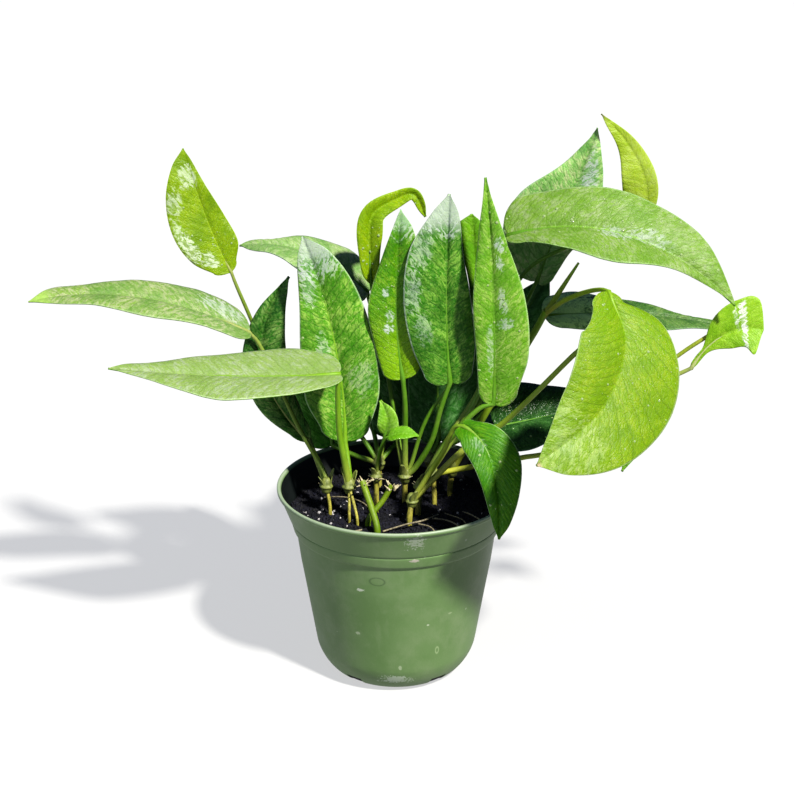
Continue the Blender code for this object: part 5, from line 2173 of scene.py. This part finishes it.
            left=(8, 13, 14, 13, 9, 4), girth=(1.2, 1.6), petiole=((18, 28, 95),), finish=BACK_FINISH,
        ),
        "behind_tall": Leaf(
            rib=((50, 26, 123), (50, 38, 160), (46, 44, 195)), right=(4, 7, 10, 9, 6, 2),
            petiole=((36, 26, 110), (22, 27, 96)), finish=BACK_FINISH,
        ),
        "over_back_right_rim": Leaf(
            rib=((24, 46, 106), (32, 72, 101), (38, 92, 64)), right=(6.5, 11, 14, 13, 8, 2.5),
            facing=(0.1, 0.6, 0.8), petiole=((20, 37, 104), (17, 30, 96)), finish=BACK_FINISH,
        ),
        "back_right": Leaf(
            rib=((38, 40, 99), (68, 68, 100), (96, 98, 98)), right=(7, 11.5, 16, 15, 9, 3),
            facing=(0, 0, 1), petiole=((28, 34, 97), (19, 29, 92)), finish=BACK_FINISH,
        ),
        "low_shaded": Leaf(
            rib=((46, 25, 108), (66, 26, 112), (97, 30, 118)), right=(8.5, 14, 17, 15, 9, 4),
            left=(9.5, 16, 19, 18, 12, 5), facing=(0, -0.62, 0.78), drops=91000,
            petiole=((36, 25, 104), (23, 26, 97)),
            # painted shade: this leaf's colours are kept dark for the shade it lies in
            finish=LeafFinish(
                "376C2C", "669550", "22491C", "12382A", "3C7050", "1E5034", speckle=0.0, gloss=0.22,
            ),
        ),
        "high_shaded": Leaf(
            rib=((54, 30, 154), (62, 32, 166), (70, 33, 178)), right=(4, 7, 9, 8, 5, 1.5), girth=(1, 1.4),
            petiole=((50, 30, 145), (40, 29, 120), (22, 28, 98)),
            finish=LeafFinish("3A8030", "6CA864", "246020", "2C6424", "7CB070", "4C9040", speckle=0.1),
        ),
    },
}

SHOOTS = {
    "shoot_left": Shoot(
        crown=(-31.5, -5, 91), roots=((-30, -7, 1.1),), sheaths=(Sheath(20.0, 9.0), Sheath(200.0, 6.0)),
        finish=StemFinish("A2AE50", "7E9C2C", "B4B870"), scraps=4,
    ),
    "shoot_front_left": Shoot(
        crown=(-21, -10, 93), knob=3.1, roots=((-21, -16, 0.9), (-17.5, -19, 0.9)),
        sheaths=(Sheath(30.0, 8.0), Sheath(170.0, 10.0)), finish=StemFinish("A9B84A", "7FAE1A", "86B81E"),
        scraps=5,
    ),
    "shoot_centre": Shoot(
        crown=(4, 4, 92), roots=((4, 4, 1.6),), sheaths=(Sheath(250.0, 8.0), Sheath(80.0, 7.0)), scraps=12,
    ),
    "shoot_right": Shoot(
        crown=(11, -6, 91), roots=((10, -8, 1.7),), sheaths=(Sheath(290.0, 9.0),), scraps=9,
    ),
    "vine_right": Shoot(
        crown=(26, 14, 91), from_crown=False, roots=((25, 14, 1.7),), sheaths=(Sheath(260.0, 8.0),),
        # painted light: stem colours brightened to lift them out of the leaves' shade
        finish=StemFinish("A8B040", "8CAC1C", "8CBC20"),
        stems=(
            (((26, 14, 91), (35, 12, 109), (49, 10, 136), (61, 6, 160), (66, 2, 172)), (1.7, 1.5)),
            (((65, 3, 169), (73, 0, 184), (79, -2, 195)), (1.5, 0.5)),
        ),
    ),
    "shoot_front_right": Shoot(
        crown=(7, -17, 89), knob=2.8, roots=((6, -19, 1.6),), sheaths=(Sheath(300.0, 7.0),),
        # painted light: stem colours brightened to lift them out of the leaves' shade
        finish=StemFinish("B4BC50", "94B02C", "70A428"),
    ),
    "runner_right": Shoot(
        crown=(17, 6, 92), knob=2.7, roots=((17.5, 4, 1.5),),
        finish=StemFinish("C8CC4A", "A8BC3A", "C4D09A"),
        stems=((((138, -15.5, 168.5), (126, -13, 159), (112, -12, 147), (98, -12, 135)), (0.9, 1)),),
    ),
    "shoot_small": Shoot(
        crown=(-9, -5, 96), knob=2.6, roots=((-9, -4, 1.5),), sheaths=(Sheath(240.0, 6.0, 1.8),), scraps=14,
    ),
    "shoot_back_left": Shoot(crown=(-8, 24, 90), roots=((-8, 24, 1.8),)),
    "shoot_back_right": Shoot(crown=(16, 27, 90), roots=((16, 27, 1.8),)),
}

CUTTINGS = {
    "cutting_front": Cutting(
        ((-15, -16, 98), (-11, -24, 89), (-8.5, -29.5, 82), (-8.5, -30, 75), (-8.5, -30, 64)), 1.5,
    ),
    "cutting_crossing": Cutting(
        ((-2, -16, 96), (-6, -17, 89), (-12, -20.5, 82), (-12.5, -21, 75), (-12.5, -21, 64)), 1.3,
    ),
}


def main() -> None:
    """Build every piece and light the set."""
    logging.basicConfig(level=logging.INFO, format="%(message)s")
    trees = Trees()
    NurseryPot().build()
    PottingSoil().build(trees)
    number = 1
    for node, shoot in SHOOTS.items():
        number = shoot.build(node, LEAVES[node], trees, number)
    for node, cutting in CUTTINGS.items():
        cutting.build(node, trees)
    Studio().build()


if __name__ == "__main__":
    main()
